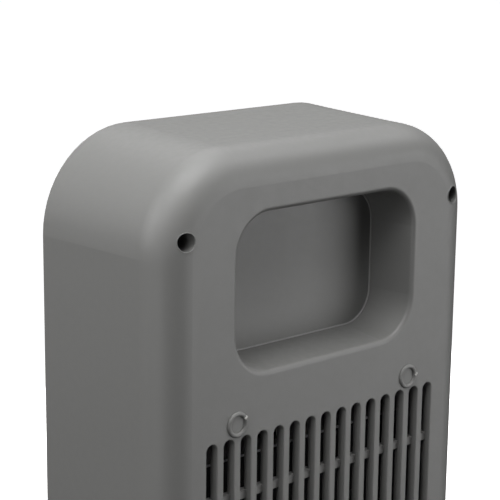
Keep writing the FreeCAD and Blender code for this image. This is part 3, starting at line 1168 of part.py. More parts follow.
bush = cut("CollarBush", bound_cylinder("BushOuter", "bush_outer", "bush_low", "plateau_z", ("0", "0")),
           [bound_cylinder("BushInner", "bush_inner", "bush_low - overrun", "plateau_z + overrun",
                           ("0", "0"))])
keep("collar_bush", bush)
washer = cut("ThrustWasher", bound_cylinder("WasherOuter", "washer_outer", "plateau_z", "washer_top",
                                            ("0", "0")),
             [bound_cylinder("WasherInner", "post_outer + part_gap", "plateau_z - overrun",
                             "washer_top + overrun", ("0", "0"))])
keep("thrust_washer", washer)
post = new_body("swivel_post")
post_profile = new_sketch(post, "XZ_Plane", "PostProfile")
draw_chain(post_profile, [("motor_shaft_radius", "post_bottom"), ("post_outer", "post_bottom"),
                          ("post_outer", "circlip_low"), ("groove_radius", "circlip_low"),
                          ("groove_radius", "circlip_top"), ("post_outer", "circlip_top"),
                          ("post_outer", "drum_bottom"), ("drum_radius", "drum_bottom"),
                          ("drum_radius", "tower_bottom"), ("cable_bore", "tower_bottom"),
                          ("cable_bore", "hub_top"), ("motor_shaft_radius", "hub_top")])
post_turned = turned("PostTurned", post_profile)
round_edges("DrumRound", post_turned, "drum_round", ring_at("Z", s.drum_bottom, s.drum_radius))
WINDOW_SPOTS = [("0", "post_window_ring"), ("-window_far", "-window_near"),
                ("window_far", "-window_near")]
for name, spots, radius, level, depth in (
        ("HubWindows", WINDOW_SPOTS, "post_window_radius", "post_bottom - overrun",
         "hub_top - post_bottom + 2 * overrun"),
        ("HeadWells", NECK_SPOTS, "head_well", "drum_bottom - overrun", "head_well_depth + overrun"),
        ("NeckHoles", NECK_SPOTS, "case_hole", "drum_bottom - overrun",
         "tower_bottom - drum_bottom + 2 * overrun")):
    hole_outline = new_sketch(post, "XY_Plane", name + "Outline", level)
    for spot in spots:
        draw_circle(hole_outline, *spot, radius)
    grow("Pocket", name, hole_outline, depth, reverse=True)
screws("neck_screws", "case",
       [V(number(x), number(y), s.drum_bottom + s.head_well_depth) for x, y in NECK_SPOTS], V(0, 0, 1))
keep("post_circlip", cut("Circlip", bound_cylinder("CirclipOuter", "circlip_outer", "circlip_low",
                                                   "circlip_top", ("0", "0")), [
    bound_cylinder("CirclipInner", "groove_radius", "circlip_low - overrun", "circlip_top + overrun",
                   ("0", "0")),
    bound_box("CirclipSlit", ("-motor_shaft_radius", "0", "circlip_low - overrun"),
              ("motor_shaft_radius", "circlip_outer + overrun", "circlip_top + overrun"))]))
motor_can = joined("MotorSolid", [
    bound_cylinder("MotorCan", "motor_radius", "plate_top_z", "motor_top", ("0", "0")),
    bound_box("MotorEars", ("-ear_span / 2", "-ear_width / 2", "ear_low"),
              ("ear_span / 2", "ear_width / 2", "motor_top"))])
keep("swivel_motor", cut("Motor", motor_can, [
    bound_cylinder("MotorBore", "motor_bore", "motor_top - motor_bore_depth", "motor_top + overrun",
                   ("0", "0"))] + [
    bound_cylinder("MotorEarHole" + side, "small_hole", "ear_low - overrun", "motor_top + overrun",
                   (side + "ear_screw_x", "0")) for side in ("-", "")]))
screws("motor_screws", "small", [V(x, 0, s.motor_top) for x in (-s.ear_screw_x, s.ear_screw_x)],
       V(0, 0, -1))
keep("motor_shaft", bound_cylinder("MotorSpindle", "motor_shaft_radius", "shaft_low", "shaft_high",
                                   ("0", "0")))

# Tip-over switch: plunger through the bottom plate, its spring and the switch above it

plunger_parts = [bound_cylinder("PlungerFoot", "plunger_radius", "0", "flange_low", ("0", "tip_y")),
                 bound_cylinder("PlungerFlange", "plunger_flange", "flange_low", "flange_top",
                                ("0", "tip_y")),
                 bound_cylinder("PlungerStem", "plunger_stem", "flange_low", "stem_top", ("0", "tip_y"))]
keep("tip_plunger", joined("Plunger", plunger_parts))
tip_box = bound_box("TipSwitchBox", ("-tip_switch_length / 2", "tip_y - tip_switch_width / 2",
                                     "tip_switch_low"),
                    ("tip_switch_length / 2", "tip_y + tip_switch_width / 2", "tip_switch_top"))
keep("tip_switch", cut("TipSwitch", tip_box, [
    bound_cylinder("TipBore", "tip_bore", "tip_switch_low - overrun", "tip_switch_low + tip_bore_depth",
                   ("0", "tip_y"))] + [
    bound_cylinder("TipScrewHole" + side, "small_hole", "tip_switch_low - overrun",
                   "tip_switch_top + overrun", (side + "tip_screw_x", "tip_y")) for side in ("-", "")]))
screws("tip_switch_screws", "small", [V(x, s.tip_y, s.tip_switch_top)
                                      for x in (-s.tip_screw_x, s.tip_screw_x)], V(0, 0, -1),
       s.tip_switch_height + s.small_half_screw)


def spring_shape():
    """Compression spring between the plunger flange and the switch, wound round the stem."""
    height = s.tip_switch_low - s.flange_top - 2 * s.spring_wire
    steps = int(s.spring_turns * s.spring_points)
    points = []
    for step in range(steps + 1):
        turn = 2 * math.pi * step / s.spring_points
        points.append(V(s.spring_radius * math.cos(turn), s.tip_y + s.spring_radius * math.sin(turn),
                        s.flange_top + s.spring_wire + height * step / steps))
    line = Part.BSplineCurve()
    line.interpolate(points)
    start = line.tangent(line.FirstParameter)[0]
    section = Part.Wire(Part.makeCircle(s.spring_wire, points[0], start))
    return Part.Wire(line.toShape()).makePipeShell([section], True, True)


feature("tip_spring", spring_shape())

# Internal leads: lamp to block, lamp to cut-out, block to the two switches

lead_low_z = s.terminal_low + s.terminal_height / 2
leads = {"lower_lamp_leads": [], "upper_lamp_leads": [], "switch_leads": []}
for sign in (-1, 1):
    lamp_x, end_x, blade_x = sign * s.lamp_x, sign * s.terminal_half, sign * s.blade_x
    leads["lower_lamp_leads"].append(rod(
        [V(lamp_x, s.lamp_y, s.ceramic_low_bottom), V(lamp_x, s.lamp_y, lead_low_z),
         V(end_x, s.lamp_y, lead_low_z)], s.lead_radius, s.lead_end_bend))
    arch_z = s.ceramic_high_top + s.lead_arch
    leads["upper_lamp_leads"].append(rod(
        [V(lamp_x, s.lamp_y, s.ceramic_high_top), V(lamp_x, s.lamp_y, arch_z),
         V(blade_x, s.cutout_y, arch_z),
         V(blade_x, s.cutout_y, s.bracket_high_top + s.cutout_height + s.blade_height)],
        s.lead_radius, s.lead_bend))
    switch_low = s.control_z - (s.timer_radius if sign > 0 else s.switch_side / 2)
    switch_x, lead_x = sign * s.control_x, sign * s.lead_x
    switch_y = s.plate_back + s.switch_depth / 2
    turn_z = s.terminal_top + s.lead_rise
    leads["switch_leads"].append(rod(
        [V(lead_x, s.lamp_y, s.terminal_top), V(lead_x, s.lamp_y, turn_z),
         V(lead_x, s.lead_hole_y, turn_z), V(lead_x, s.lead_hole_y, s.lead_turn_z),
         V(switch_x, switch_y, s.lead_bridge_z - (sign + 1) * s.lead_end_bend / 2),
         V(switch_x, switch_y, switch_low)], s.lead_radius, s.lead_bend))
for label, runs in leads.items():
    feature(label, Part.makeCompound(runs))


# Every object is checked, then each piece is written to its own STEP file

doc.recompute()
for item in doc.Objects:
    problems = [word for word in item.State if word in ("Invalid", "Error")]
    if problems:
        raise RuntimeError("%s: %s" % (item.Name, ", ".join(problems)))
    if item.isDerivedFrom("PartDesign::Pocket") and item.BaseFeature:
        if item.Shape.Volume > item.BaseFeature.Shape.Volume:
            raise RuntimeError("%s cuts nothing" % item.Name)
os.makedirs("parts", exist_ok=True)
for node in NODES:
    if node.Shape.isNull() or not node.Shape.isValid():
        raise RuntimeError("%s has no valid shape" % node.Label)
    node.Shape.exportStep("parts/%s.step" % node.Label)
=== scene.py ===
import math

import bpy
from mathutils import Matrix, Vector


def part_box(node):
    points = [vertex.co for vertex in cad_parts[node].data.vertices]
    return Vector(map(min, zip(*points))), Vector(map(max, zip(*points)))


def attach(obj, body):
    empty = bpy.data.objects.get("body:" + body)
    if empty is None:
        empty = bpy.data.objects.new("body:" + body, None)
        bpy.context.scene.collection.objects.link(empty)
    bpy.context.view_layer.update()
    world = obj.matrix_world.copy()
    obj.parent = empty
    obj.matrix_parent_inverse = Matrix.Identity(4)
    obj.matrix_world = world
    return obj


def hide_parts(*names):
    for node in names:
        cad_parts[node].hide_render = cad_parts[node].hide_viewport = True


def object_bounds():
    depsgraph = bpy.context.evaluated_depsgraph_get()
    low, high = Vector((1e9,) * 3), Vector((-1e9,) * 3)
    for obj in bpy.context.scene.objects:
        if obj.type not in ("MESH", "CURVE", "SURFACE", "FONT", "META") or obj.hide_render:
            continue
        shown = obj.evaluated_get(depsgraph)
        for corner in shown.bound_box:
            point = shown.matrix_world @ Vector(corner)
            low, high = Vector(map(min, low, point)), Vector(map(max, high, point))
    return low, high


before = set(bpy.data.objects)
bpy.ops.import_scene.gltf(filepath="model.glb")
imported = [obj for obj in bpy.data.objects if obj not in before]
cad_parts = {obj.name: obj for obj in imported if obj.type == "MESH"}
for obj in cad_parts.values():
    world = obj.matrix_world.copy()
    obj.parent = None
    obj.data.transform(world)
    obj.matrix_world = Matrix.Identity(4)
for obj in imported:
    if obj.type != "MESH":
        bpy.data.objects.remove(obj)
solid_low, solid_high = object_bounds()

# Rear shell: one deep shell moulded in matte mid-grey ABS with a fine even grain, held by black screws
# in deep wells that keep a raised rim. The handle recess has a fine bead where its floor meets its
# walls, coloured paler as a painted highlight for the light its edge catches, and each ring boss has a
# torn stub where the gate broke off, coloured pale as a painted glint.


def stuff(name, light, dark, cloud, rough, grain, depth, stretch=(1, 1, 1), **sockets):
    """Material with clouded colour, uneven gloss and a fine grain, all fixed to the piece."""
    material = bpy.data.materials.new(name)
    material.use_nodes = True
    nodes, links = material.node_tree.nodes, material.node_tree.links
    shader = nodes["Principled BSDF"]
    noise_low, noise_high, cloud_detail, grain_detail, grains_in_patch = 0.3, 0.7, 3, 2, 5
    place = nodes.new("ShaderNodeTexCoord")
    turn = nodes.new("ShaderNodeMapping")
    turn.inputs["Scale"].default_value = stretch
    links.new(place.outputs["Object"], turn.inputs["Vector"])

    def noise(scale, detail):
        texture = nodes.new("ShaderNodeTexNoise")
        texture.inputs["Scale"].default_value = scale
        texture.inputs["Detail"].default_value = detail
        links.new(turn.outputs["Vector"], texture.inputs["Vector"])
        return texture.outputs["Fac"]

    ramp = nodes.new("ShaderNodeValToRGB")
    dark_stop, light_stop = ramp.color_ramp.elements
    dark_stop.position, dark_stop.color = noise_low, (*dark, 1)
    light_stop.position, light_stop.color = noise_high, (*light, 1)
    links.new(noise(cloud, cloud_detail), ramp.inputs["Fac"])
    links.new(ramp.outputs["Color"], shader.inputs["Base Color"])
    gloss = nodes.new("ShaderNodeMapRange")
    gloss.inputs["From Min"].default_value = noise_low
    gloss.inputs["From Max"].default_value = noise_high
    gloss.inputs["To Min"].default_value = rough[0]
    gloss.inputs["To Max"].default_value = rough[1]
    links.new(noise(grain / grains_in_patch, grain_detail), gloss.inputs["Value"])
    links.new(gloss.outputs["Result"], shader.inputs["Roughness"])
    bump = nodes.new("ShaderNodeBump")
    bump.inputs["Strength"].default_value = 1
    bump.inputs["Distance"].default_value = depth
    links.new(noise(grain, grain_detail), bump.inputs["Height"])
    links.new(bump.outputs["Normal"], shader.inputs["Normal"])
    for socket, value in sockets.items():
        shader.inputs[socket.replace("_", " ")].default_value = value
    return material


def dress(material, *nodes):
    """Gives a material to every slot of some solids."""
    for node in nodes:
        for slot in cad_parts[node].material_slots:
            slot.material = material


def start():
    """Clears the selection before a new piece is begun."""
    bpy.ops.object.select_all(action="DESELECT")


def finished(name, material, body, smooth=40):
    """Settles the active piece: its place goes into its mesh, and it gets its finish and its body."""
    piece = bpy.context.object
    bpy.ops.object.transform_apply(location=True, rotation=True, scale=True)
    bpy.ops.object.shade_smooth_by_angle(angle=math.radians(smooth))
    piece.name = name
    piece.data.materials.clear()
    piece.data.materials.append(material)
    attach(piece, body)
    return piece


def copied(places, turns=None):
    """Copies the active piece to each place, each copy with its own turn, and joins the copies."""
    model = bpy.context.object
    copies = []
    for index, place in enumerate(places):
        copy = model.copy()
        copy.data = model.data.copy()
        bpy.context.scene.collection.objects.link(copy)
        turn = turns[index] if turns else Matrix()
        copy.matrix_world = Matrix.Translation(place) @ turn @ model.matrix_world
        copies.append(copy)
    bpy.data.objects.remove(model)
    start()
    for copy in copies:
        copy.select_set(True)
    bpy.context.view_layer.objects.active = copies[0]
    bpy.ops.object.join()


shell_grey = stuff("grained grey shell", (0.150, 0.150, 0.146), (0.143, 0.143, 0.139), 9, (0.46, 0.54),
                   1900, 0.000022, IOR=1.5)
dress(shell_grey, "rear_shell")
dress(stuff("black oxide screw", (0.03, 0.03, 0.03), (0.015, 0.015, 0.016), 400, (0.35, 0.55), 3000,
            0.00001, Metallic=0.9), "shell_screws")

well_x, well_radius, rim_wire, head_radius = 0.0674, 0.0034, 0.0002, 0.0029
screw_low, screw_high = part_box("shell_screws")
well_levels = [screw_low.z + head_radius, (screw_low.z + screw_high.z) / 2, screw_high.z - head_radius]


def skin_at(x, z):
    """Depth of the shell's outer skin at a point of the back."""
    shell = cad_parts["rear_shell"]
    return shell.ray_cast(Vector((x, solid_high.y, z)), (0, -1, 0))[1].y


start()
bpy.ops.mesh.primitive_torus_add(major_radius=well_radius, minor_radius=rim_wire, major_segments=64,
                                 minor_segments=10, rotation=(math.pi / 2, 0, 0))
bpy.ops.object.transform_apply(rotation=True)
copied([(side * well_x, 0, z) for side in (-1, 1) for z in well_levels])
bpy.ops.object.transform_apply(location=True)
for point in bpy.context.object.data.vertices:
    side = math.copysign(well_x, point.co.x)
    level = min(well_levels, key=lambda z: abs(z - point.co.z))
    out = Vector((point.co.x - side, point.co.z - level)).normalized() * (well_radius + rim_wire)
    point.co.y += skin_at(side + out.x, level + out.y)
finished("well_rims", shell_grey, "tower")

bead_y, bead_mid, bead_wire = 0.0181, 0.5662, 0.0003
bead_width, bead_height, bead_corner = 0.0848, 0.0528, 0.0129
start()
bpy.ops.mesh.primitive_plane_add(size=1, location=(0, bead_y, bead_mid), rotation=(math.pi / 2, 0, 0))
bpy.ops.transform.resize(value=(bead_width, 1, bead_height))
bpy.ops.object.transform_apply(location=True, rotation=True, scale=True)
bpy.ops.object.mode_set(mode="EDIT")
bpy.ops.mesh.select_all(action="SELECT")
bpy.ops.mesh.bevel(offset=bead_corner, segments=14, affect="VERTICES")
bpy.ops.mesh.delete(type="ONLY_FACE")
bpy.ops.object.mode_set(mode="OBJECT")
bpy.ops.object.convert(target="CURVE")
bpy.context.object.data.bevel_depth = bead_wire
bpy.context.object.data.bevel_resolution = 3
bpy.ops.object.convert(target="MESH")
# Painted highlight: the bead's paler colour stands in for the light its small convex edge catches.
bead_painted_highlight = stuff("bead painted highlight", (0.27, 0.27, 0.265), (0.24, 0.24, 0.235), 300, (0.4, 0.5), 1900,
                  0.00001, IOR=1.5)
finished("recess_bead", bead_painted_highlight, "tower", 60)

# Painted glint: the stubs' pale colour stands in for the light they catch on the ring crests.
stub_painted_glint = stuff("stub painted glint", (0.50, 0.49, 0.47), (0.36, 0.35, 0.34), 900, (0.5, 0.7), 4000,
                  0.00004)
stub_places = [(0.0411, 0.0391, 0.5227), (-0.0481, 0.0391, 0.5209)]
stub_size, stub_tear, stub_slant = (0.0013, 0.0005, 0.0007), 0.12, math.radians(42)
start()
bpy.ops.mesh.primitive_cube_add(size=1)
bpy.ops.transform.resize(value=stub_size)
bpy.ops.object.mode_set(mode="EDIT")
bpy.ops.mesh.select_all(action="SELECT")
bpy.ops.mesh.subdivide(number_cuts=2)
bpy.ops.transform.vertex_random(offset=stub_tear, seed=4)
bpy.ops.object.mode_set(mode="OBJECT")
bpy.ops.object.transform_apply(scale=True)
copied(stub_places, [Matrix.Rotation(stub_slant, 4, "Y")] * len(stub_places))
finished("gate_stubs", stub_painted_glint, "tower", 20)

# Front frame: a bevelled surround in the same grey, pushed into the shell and held by the shell's
# screws. It was moulded in one piece with the window, the seat of the fascia and all its posts.

frame_grey = stuff("grained grey frame", (0.140, 0.140, 0.136), (0.132, 0.132, 0.128), 9, (0.48, 0.56),
                   1900, 0.000022, IOR=1.5)
dress(frame_grey, "front_frame")

# Guard: bent steel wire, resistance welded at every crossing and chromed. Each crossing keeps a small
# squeezed weld bead between the wire and the stay. Galvanised clips and zinc plated screws hold it.

chrome = stuff("chromed wire", (0.80, 0.80, 0.81), (0.70, 0.70, 0.72), 60, (0.08, 0.18), 900, 0.00001,
               Metallic=1.0)
plated = stuff("zinc plated steel", (0.62, 0.62, 0.60), (0.50, 0.50, 0.49), 90, (0.28, 0.45), 1500,
               0.00002, Metallic=1.0)
galvanised = stuff("galvanised sheet", (0.54, 0.55, 0.56), (0.40, 0.41, 0.42), 55, (0.35, 0.55), 700,
                   0.00003, Metallic=1.0)
dress(chrome, "front_guard")
dress(galvanised, "guard_clips")
dress(plated, "guard_clip_screws")

guard_low, guard_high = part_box("front_guard")
guard_wire, wire_count, stay_x = 0.0015, 31, 0.034
weld_radius, weld_shape, weld_depth = 0.0012, (1.25, 0.7, 1.15), 0.0021
rim_low, rim_high = guard_low.z + guard_wire, guard_high.z - guard_wire
wire_gap = (rim_high - rim_low) / wire_count
start()
bpy.ops.mesh.primitive_uv_sphere_add(segments=10, ring_count=6, radius=weld_radius)
bpy.ops.transform.resize(value=weld_shape)
bpy.ops.object.transform_apply(scale=True)
copied([(x, guard_low.y + weld_depth, rim_low + step * wire_gap) for x in (-stay_x, 0, stay_x)
        for step in range(2, wire_count - 1)])
finished("guard_welds", chrome, "tower", 60)

# Lamp brackets: folded galvanised sheet gone dull with heat, fixed with plated screws, with a spring ring
# for each lamp end. The reflector is polished aluminium, bent into two troughs, and the heat shield
# behind it is sheet steel coloured near black as painted shade, standing in for the dark inside of the
# tower seen through the slots.

dress(stuff("dulled galvanised sheet", (0.30, 0.30, 0.31), (0.19, 0.19, 0.20), 70, (0.5, 0.7), 900,
            0.00003, Metallic=0.9), "upper_bracket", "lower_bracket")
dress(galvanised, "lamp_spring_rings")
# Painted shade: the shield's near-black colour stands in for the shade inside the tower behind the slots.
dress(stuff("shield black painted shade", (0.010, 0.010, 0.010), (0.006, 0.006, 0.006), 60, (0.75, 0.9), 900,
            0.00002, Specular_IOR_Level=0.2), "heat_shield")
dress(plated, "bracket_screws")
dress(stuff("bright reflector", (0.82, 0.82, 0.82), (0.74, 0.74, 0.75), 30, (0.13, 0.22), 300, 0.00002,
            (1, 1, 0.05), Metallic=1.0), "reflector")

# Lamps: clear quartz tubes between white steatite ends, each with a rope of carbon fibre in it. A rope
# is three twisted strands, crimped at both ends into a nickel sleeve with two pressed grooves.

dress(stuff("white steatite", (0.82, 0.80, 0.75), (0.74, 0.72, 0.66), 120, (0.5, 0.7), 1800, 0.00004),
      "ceramic_ends")
dress(stuff("clear quartz", (0.97, 0.98, 0.99), (0.94, 0.95, 0.96), 40, (0.01, 0.03), 120, 0.00002,
            Transmission_Weight=1.0, IOR=1.46), "quartz_tube_left", "quartz_tube_right")
carbon = stuff("carbon rope", (0.055, 0.055, 0.06), (0.015, 0.015, 0.017), 700, (0.35, 0.6), 2500,
               0.00008, (1, 1, 0.25))
nickel = stuff("nickel sleeve", (0.60, 0.58, 0.53), (0.48, 0.46, 0.42), 200, (0.25, 0.4), 1500, 0.00002,
               Metallic=1.0)
strand_radius, strand_ring, strand_pitch, strand_steps, strand_count = 0.00098, 0.00113, 0.011, 16, 3
sleeve_length, merge_gap = 0.014, 1e-7
sleeve_shares = ((0.0, 0.9), (0.03, 1.0), (0.25, 1.0), (0.31, 0.86), (0.37, 1.0), (0.62, 1.0),
                 (0.68, 0.86), (0.74, 1.0), (0.97, 1.0), (1.0, 0.9))
for side in ("left", "right"):
    low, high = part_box("carbon_element_" + side)
    middle = (low + high) / 2
    sleeve_radius = (high.x - low.x) / 2
    rope_length = high.z - low.z - sleeve_length
    start()
    bpy.ops.mesh.primitive_circle_add(vertices=8, radius=strand_radius, fill_type="NOTHING")
    strand = bpy.context.object
    bpy.ops.transform.rotate(value=math.pi / 2, orient_axis="X", center_override=(0, 0, 0))
    bpy.ops.transform.translate(value=(strand_ring, 0, 0))
    bpy.ops.object.transform_apply(location=True, rotation=True, scale=True)
    twist = strand.modifiers.new("twist", "SCREW")
    turns = rope_length / strand_pitch
    twist.angle = 2 * math.pi * turns
    twist.screw_offset = rope_length
    twist.steps = twist.render_steps = int(strand_steps * turns)
    bpy.ops.object.modifier_apply(modifier=twist.name)
    copied([(middle.x, middle.y, low.z + sleeve_length / 2)] * strand_count,
           [Matrix.Rotation(2 * math.pi * index / strand_count, 4, "Z") for index in range(strand_count)])
    rope = finished("carbon_rope_" + side, carbon, "tower", 80)
    bpy.ops.object.mode_set(mode="EDIT")
    bpy.ops.mesh.select_all(action="SELECT")
    bpy.ops.mesh.remove_doubles(threshold=merge_gap)
    bpy.ops.mesh.normals_make_consistent(inside=False)
    bpy.ops.object.mode_set(mode="OBJECT")

    start()
    bpy.ops.mesh.primitive_circle_add(vertices=32, radius=sleeve_radius * sleeve_shares[0][1],
                                      fill_type="NGON")
    bpy.ops.object.mode_set(mode="EDIT")
    bpy.ops.mesh.select_all(action="SELECT")
    for (height, width), (next_height, next_width) in zip(sleeve_shares, sleeve_shares[1:]):
        rise = (next_height - height) * sleeve_length
        bpy.ops.mesh.extrude_region_move(TRANSFORM_OT_translate={"value": (0, 0, rise)})
        bpy.ops.transform.resize(value=(next_width / width, next_width / width, 1))
    bpy.ops.mesh.select_all(action="SELECT")
    bpy.ops.mesh.normals_make_consistent(inside=False)
    bpy.ops.object.mode_set(mode="OBJECT")
    copied([(middle.x, middle.y, low.z), (middle.x, middle.y, high.z - sleeve_length)])
    sleeves = finished("rope_sleeves_" + side, nickel, "tower", 35)
    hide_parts("carbon_element_" + side)
    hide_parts("carbon_element_" + side)

# Thermal cut-out, terminal block and leads: a plated bimetal switch, a cream block with brass clamps,
# and leads in white silicone sleeves, clamped at both ends.

dress(plated, "thermal_cutout", "cutout_screws", "terminal_block_screws")
dress(stuff("cream thermoset", (0.72, 0.68, 0.58), (0.62, 0.58, 0.48), 150, (0.4, 0.6), 1500, 0.00003),
      "terminal_block")
dress(stuff("brass terminal", (0.75, 0.56, 0.25), (0.60, 0.43, 0.18), 200, (0.2, 0.4), 2000, 0.00001,
            Metallic=1.0), "terminal_screws")
dress(stuff("white silicone sleeve", (0.75, 0.75, 0.72), (0.66, 0.66, 0.62), 300, (0.5, 0.7), 2500,
            0.00002), "lower_lamp_leads", "upper_lamp_leads", "switch_leads")

# Switches behind the fascia: black moulded cases and a drawn steel timer can on a galvanised plate. Nuts
# hold the heat switch and the timer, and screws hold the plate.

dress(galvanised, "control_plate")
dress(plated, "control_plate_screws", "switch_nuts", "heat_shaft", "timer_shaft")
switch_black = stuff("black switch case", (0.03, 0.03, 0.032), (0.018, 0.018, 0.02), 80, (0.4, 0.6), 1800,
                     0.00002)
dress(switch_black, "heat_switch", "swing_switch", "pilot_lamp")
drawn_can = stuff("drawn steel can", (0.60, 0.60, 0.58), (0.50, 0.50, 0.48), 70, (0.25, 0.45), 1000,
                  0.00002, Metallic=1.0)
dress(drawn_can, "timer_unit")

# Fascia: satin black moulded panel with white printed marks. The heat dial has 0, 1 and 2, the timer
# 0 to 5 hours with ticks between them, and a two-headed arc under the button marks the swing.


def eased(width, steps=1):
    """Takes the sharpness off all edges of the active piece."""
    bpy.ops.object.mode_set(mode="EDIT")
    bpy.ops.mesh.select_all(action="SELECT")
    bpy.ops.mesh.bevel(offset=width, segments=steps)
    bpy.ops.object.mode_set(mode="OBJECT")


dress(stuff("satin black fascia", (0.012, 0.012, 0.013), (0.009, 0.009, 0.010), 20, (0.28, 0.31), 500,
            0.000003, Specular_IOR_Level=0.35), "control_fascia")
ink = stuff("white ink", (0.80, 0.80, 0.79), (0.72, 0.72, 0.71), 900, (0.45, 0.6), 3000, 0.000005)
fascia_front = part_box("control_fascia")[0].y
ink_film, tick_inner, tick_length, tick_width = 0.00003, 0.0168, 0.0018, 0.0006
number_ring, number_height = 0.0222, 0.0042
dials = (("heat", 3, 60, 2), ("timer", 6, 60, 6))
for name, numbers, degrees, ticks_each in dials:
    knob_low, knob_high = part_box(name + "_knob")
    hub = (knob_low + knob_high) / 2
    hub.y = fascia_front - ink_film
    start()
    bpy.ops.mesh.primitive_cube_add(size=1)
    bpy.ops.transform.resize(value=(tick_width, 2 * ink_film, tick_length))
    bpy.ops.object.transform_apply(scale=True)
    eased(ink_film / 2)
    bpy.ops.transform.translate(value=(0, 0, tick_inner + tick_length / 2))
    count = (numbers - 1) * ticks_each + 1
    turns = [Matrix.Rotation(math.radians(degrees * tick / ticks_each), 4, "Y") for tick in range(count)]
    copied([hub] * count, turns)
    finished(name + "_dial_ticks", ink, "tower")
    written = []
    for number in range(numbers):
        start()
        angle = math.radians(degrees * number)
        place = hub + Vector((math.sin(angle), 0, math.cos(angle))) * number_ring
        bpy.ops.object.text_add(location=place, rotation=(math.pi / 2, 0, 0))
        text = bpy.context.object
        text.data.body = str(number)
        text.data.size = number_height
        text.data.align_x = text.data.align_y = "CENTER"
        text.data.extrude = ink_film
        text.data.resolution_u = 4
        bpy.ops.object.convert(target="MESH")
        written.append(bpy.context.object)
    start()
    for text in written:
        text.select_set(True)
    bpy.context.view_layer.objects.active = written[0]
    bpy.ops.object.join()
    finished(name + "_dial_numbers", ink, "tower")

swing_radius, swing_half, swing_line = 0.0125, math.radians(38), 0.0003
head_width, head_length = 0.0016, 0.0019
button_low, button_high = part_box("swing_button")
hub = (button_low + button_high) / 2
hub.y = fascia_front - ink_film
swing_ends = (swing_half, -swing_half)
start()
bpy.ops.mesh.primitive_cylinder_add(vertices=3, radius=0.5, depth=1, rotation=(math.pi / 2, 0, 0))
bpy.ops.object.transform_apply(rotation=True)
bpy.ops.transform.resize(value=(head_width, 2 * ink_film, head_length))
bpy.ops.object.transform_apply(scale=True)
eased(ink_film / 2)
copied([hub + Vector((math.sin(end), 0, -math.cos(end))) * swing_radius for end in swing_ends],
       [Matrix.Rotation(math.copysign(math.pi / 2, end) - end, 4, "Y") for end in swing_ends])
heads = bpy.context.object
start()
bpy.ops.mesh.primitive_torus_add(major_radius=swing_radius, minor_radius=swing_line, major_segments=96,
                                 minor_segments=8, rotation=(math.pi / 2, 0, 0))
bpy.ops.object.transform_apply(rotation=True)
bpy.ops.transform.resize(value=(1, ink_film / swing_line, 1))
bpy.ops.object.transform_apply(scale=True)
bpy.ops.object.mode_set(mode="EDIT")
bpy.ops.mesh.select_all(action="DESELECT")
bpy.ops.object.mode_set(mode="OBJECT")
for point in bpy.context.object.data.vertices:
    point.select = math.atan2(abs(point.co.x), -point.co.z) > swing_half
bpy.ops.object.mode_set(mode="EDIT")
bpy.ops.mesh.delete(type="VERT")
bpy.ops.mesh.select_all(action="SELECT")
bpy.ops.mesh.fill_holes(sides=8)
bpy.ops.object.mode_set(mode="OBJECT")
bpy.ops.transform.translate(value=hub)
heads.select_set(True)
bpy.ops.object.join()
finished("swing_mark", ink, "tower")

# Knobs: moulded in satin black plastic and pushed on their shafts. Each cap is fluted for grip, and its
# pointer has a white line let into it.

knob_black = stuff("satin black knob", (0.022, 0.022, 0.023), (0.015, 0.015, 0.016), 60, (0.30, 0.42),
                   2200, 0.00001)
dress(knob_black, "heat_knob", "timer_knob")
flute_radius, flute_length, flute_count, flute_middle, cap_radius = 0.00045, 0.0075, 40, 0.0098, 0.0130
line_width, line_length, line_middle, line_film = 0.0010, 0.0072, 0.0068, 0.00004
for name in ("heat", "timer"):
    knob_low, knob_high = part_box(name + "_knob")
    hub = (knob_low + knob_high) / 2
    start()
    bpy.ops.mesh.primitive_cylinder_add(vertices=12, radius=flute_radius, depth=flute_length,
                                        rotation=(math.pi / 2, 0, 0))
    bpy.ops.object.transform_apply(rotation=True)
    eased(flute_radius / 3, 2)
    bpy.ops.transform.translate(value=(0, 0, cap_radius))
    turns = [Matrix.Rotation(2 * math.pi * index / flute_count, 4, "Y") for index in range(flute_count)]
    copied([(hub.x, knob_high.y - flute_middle, hub.z)] * flute_count, turns)
    finished(name + "_knob_flutes", knob_black, name + "_knob")
    start()
    bpy.ops.mesh.primitive_cube_add(size=1, location=(hub.x, knob_low.y - line_film / 2,
                                                      hub.z + line_middle))
    bpy.ops.transform.resize(value=(line_width, line_film, line_length))
    bpy.ops.object.transform_apply(location=True, scale=True)
    eased(line_film / 3)
    finished(name + "_knob_line", ink, name + "_knob")

# Button and lens: a pale moulded push button and a clear amber lens with a neon lamp behind it. The
# button keeps the same fine grain as the knobs, and the lens is polished.

dress(stuff("pale button", (0.50, 0.50, 0.48), (0.44, 0.44, 0.42), 100, (0.35, 0.45), 2200, 0.00001),
      "swing_button")
dress(stuff("amber lens", (0.80, 0.25, 0.05), (0.70, 0.18, 0.03), 100, (0.08, 0.15), 900, 0.00001,
            Transmission_Weight=0.6), "indicator_lens")

# Base: a grained grey cover screwed to a black steel plate, with a cast ballast ring, rubber feet and
# gland, nylon bearings, a geared motor and the tip-over switch. The post is glass filled nylon.

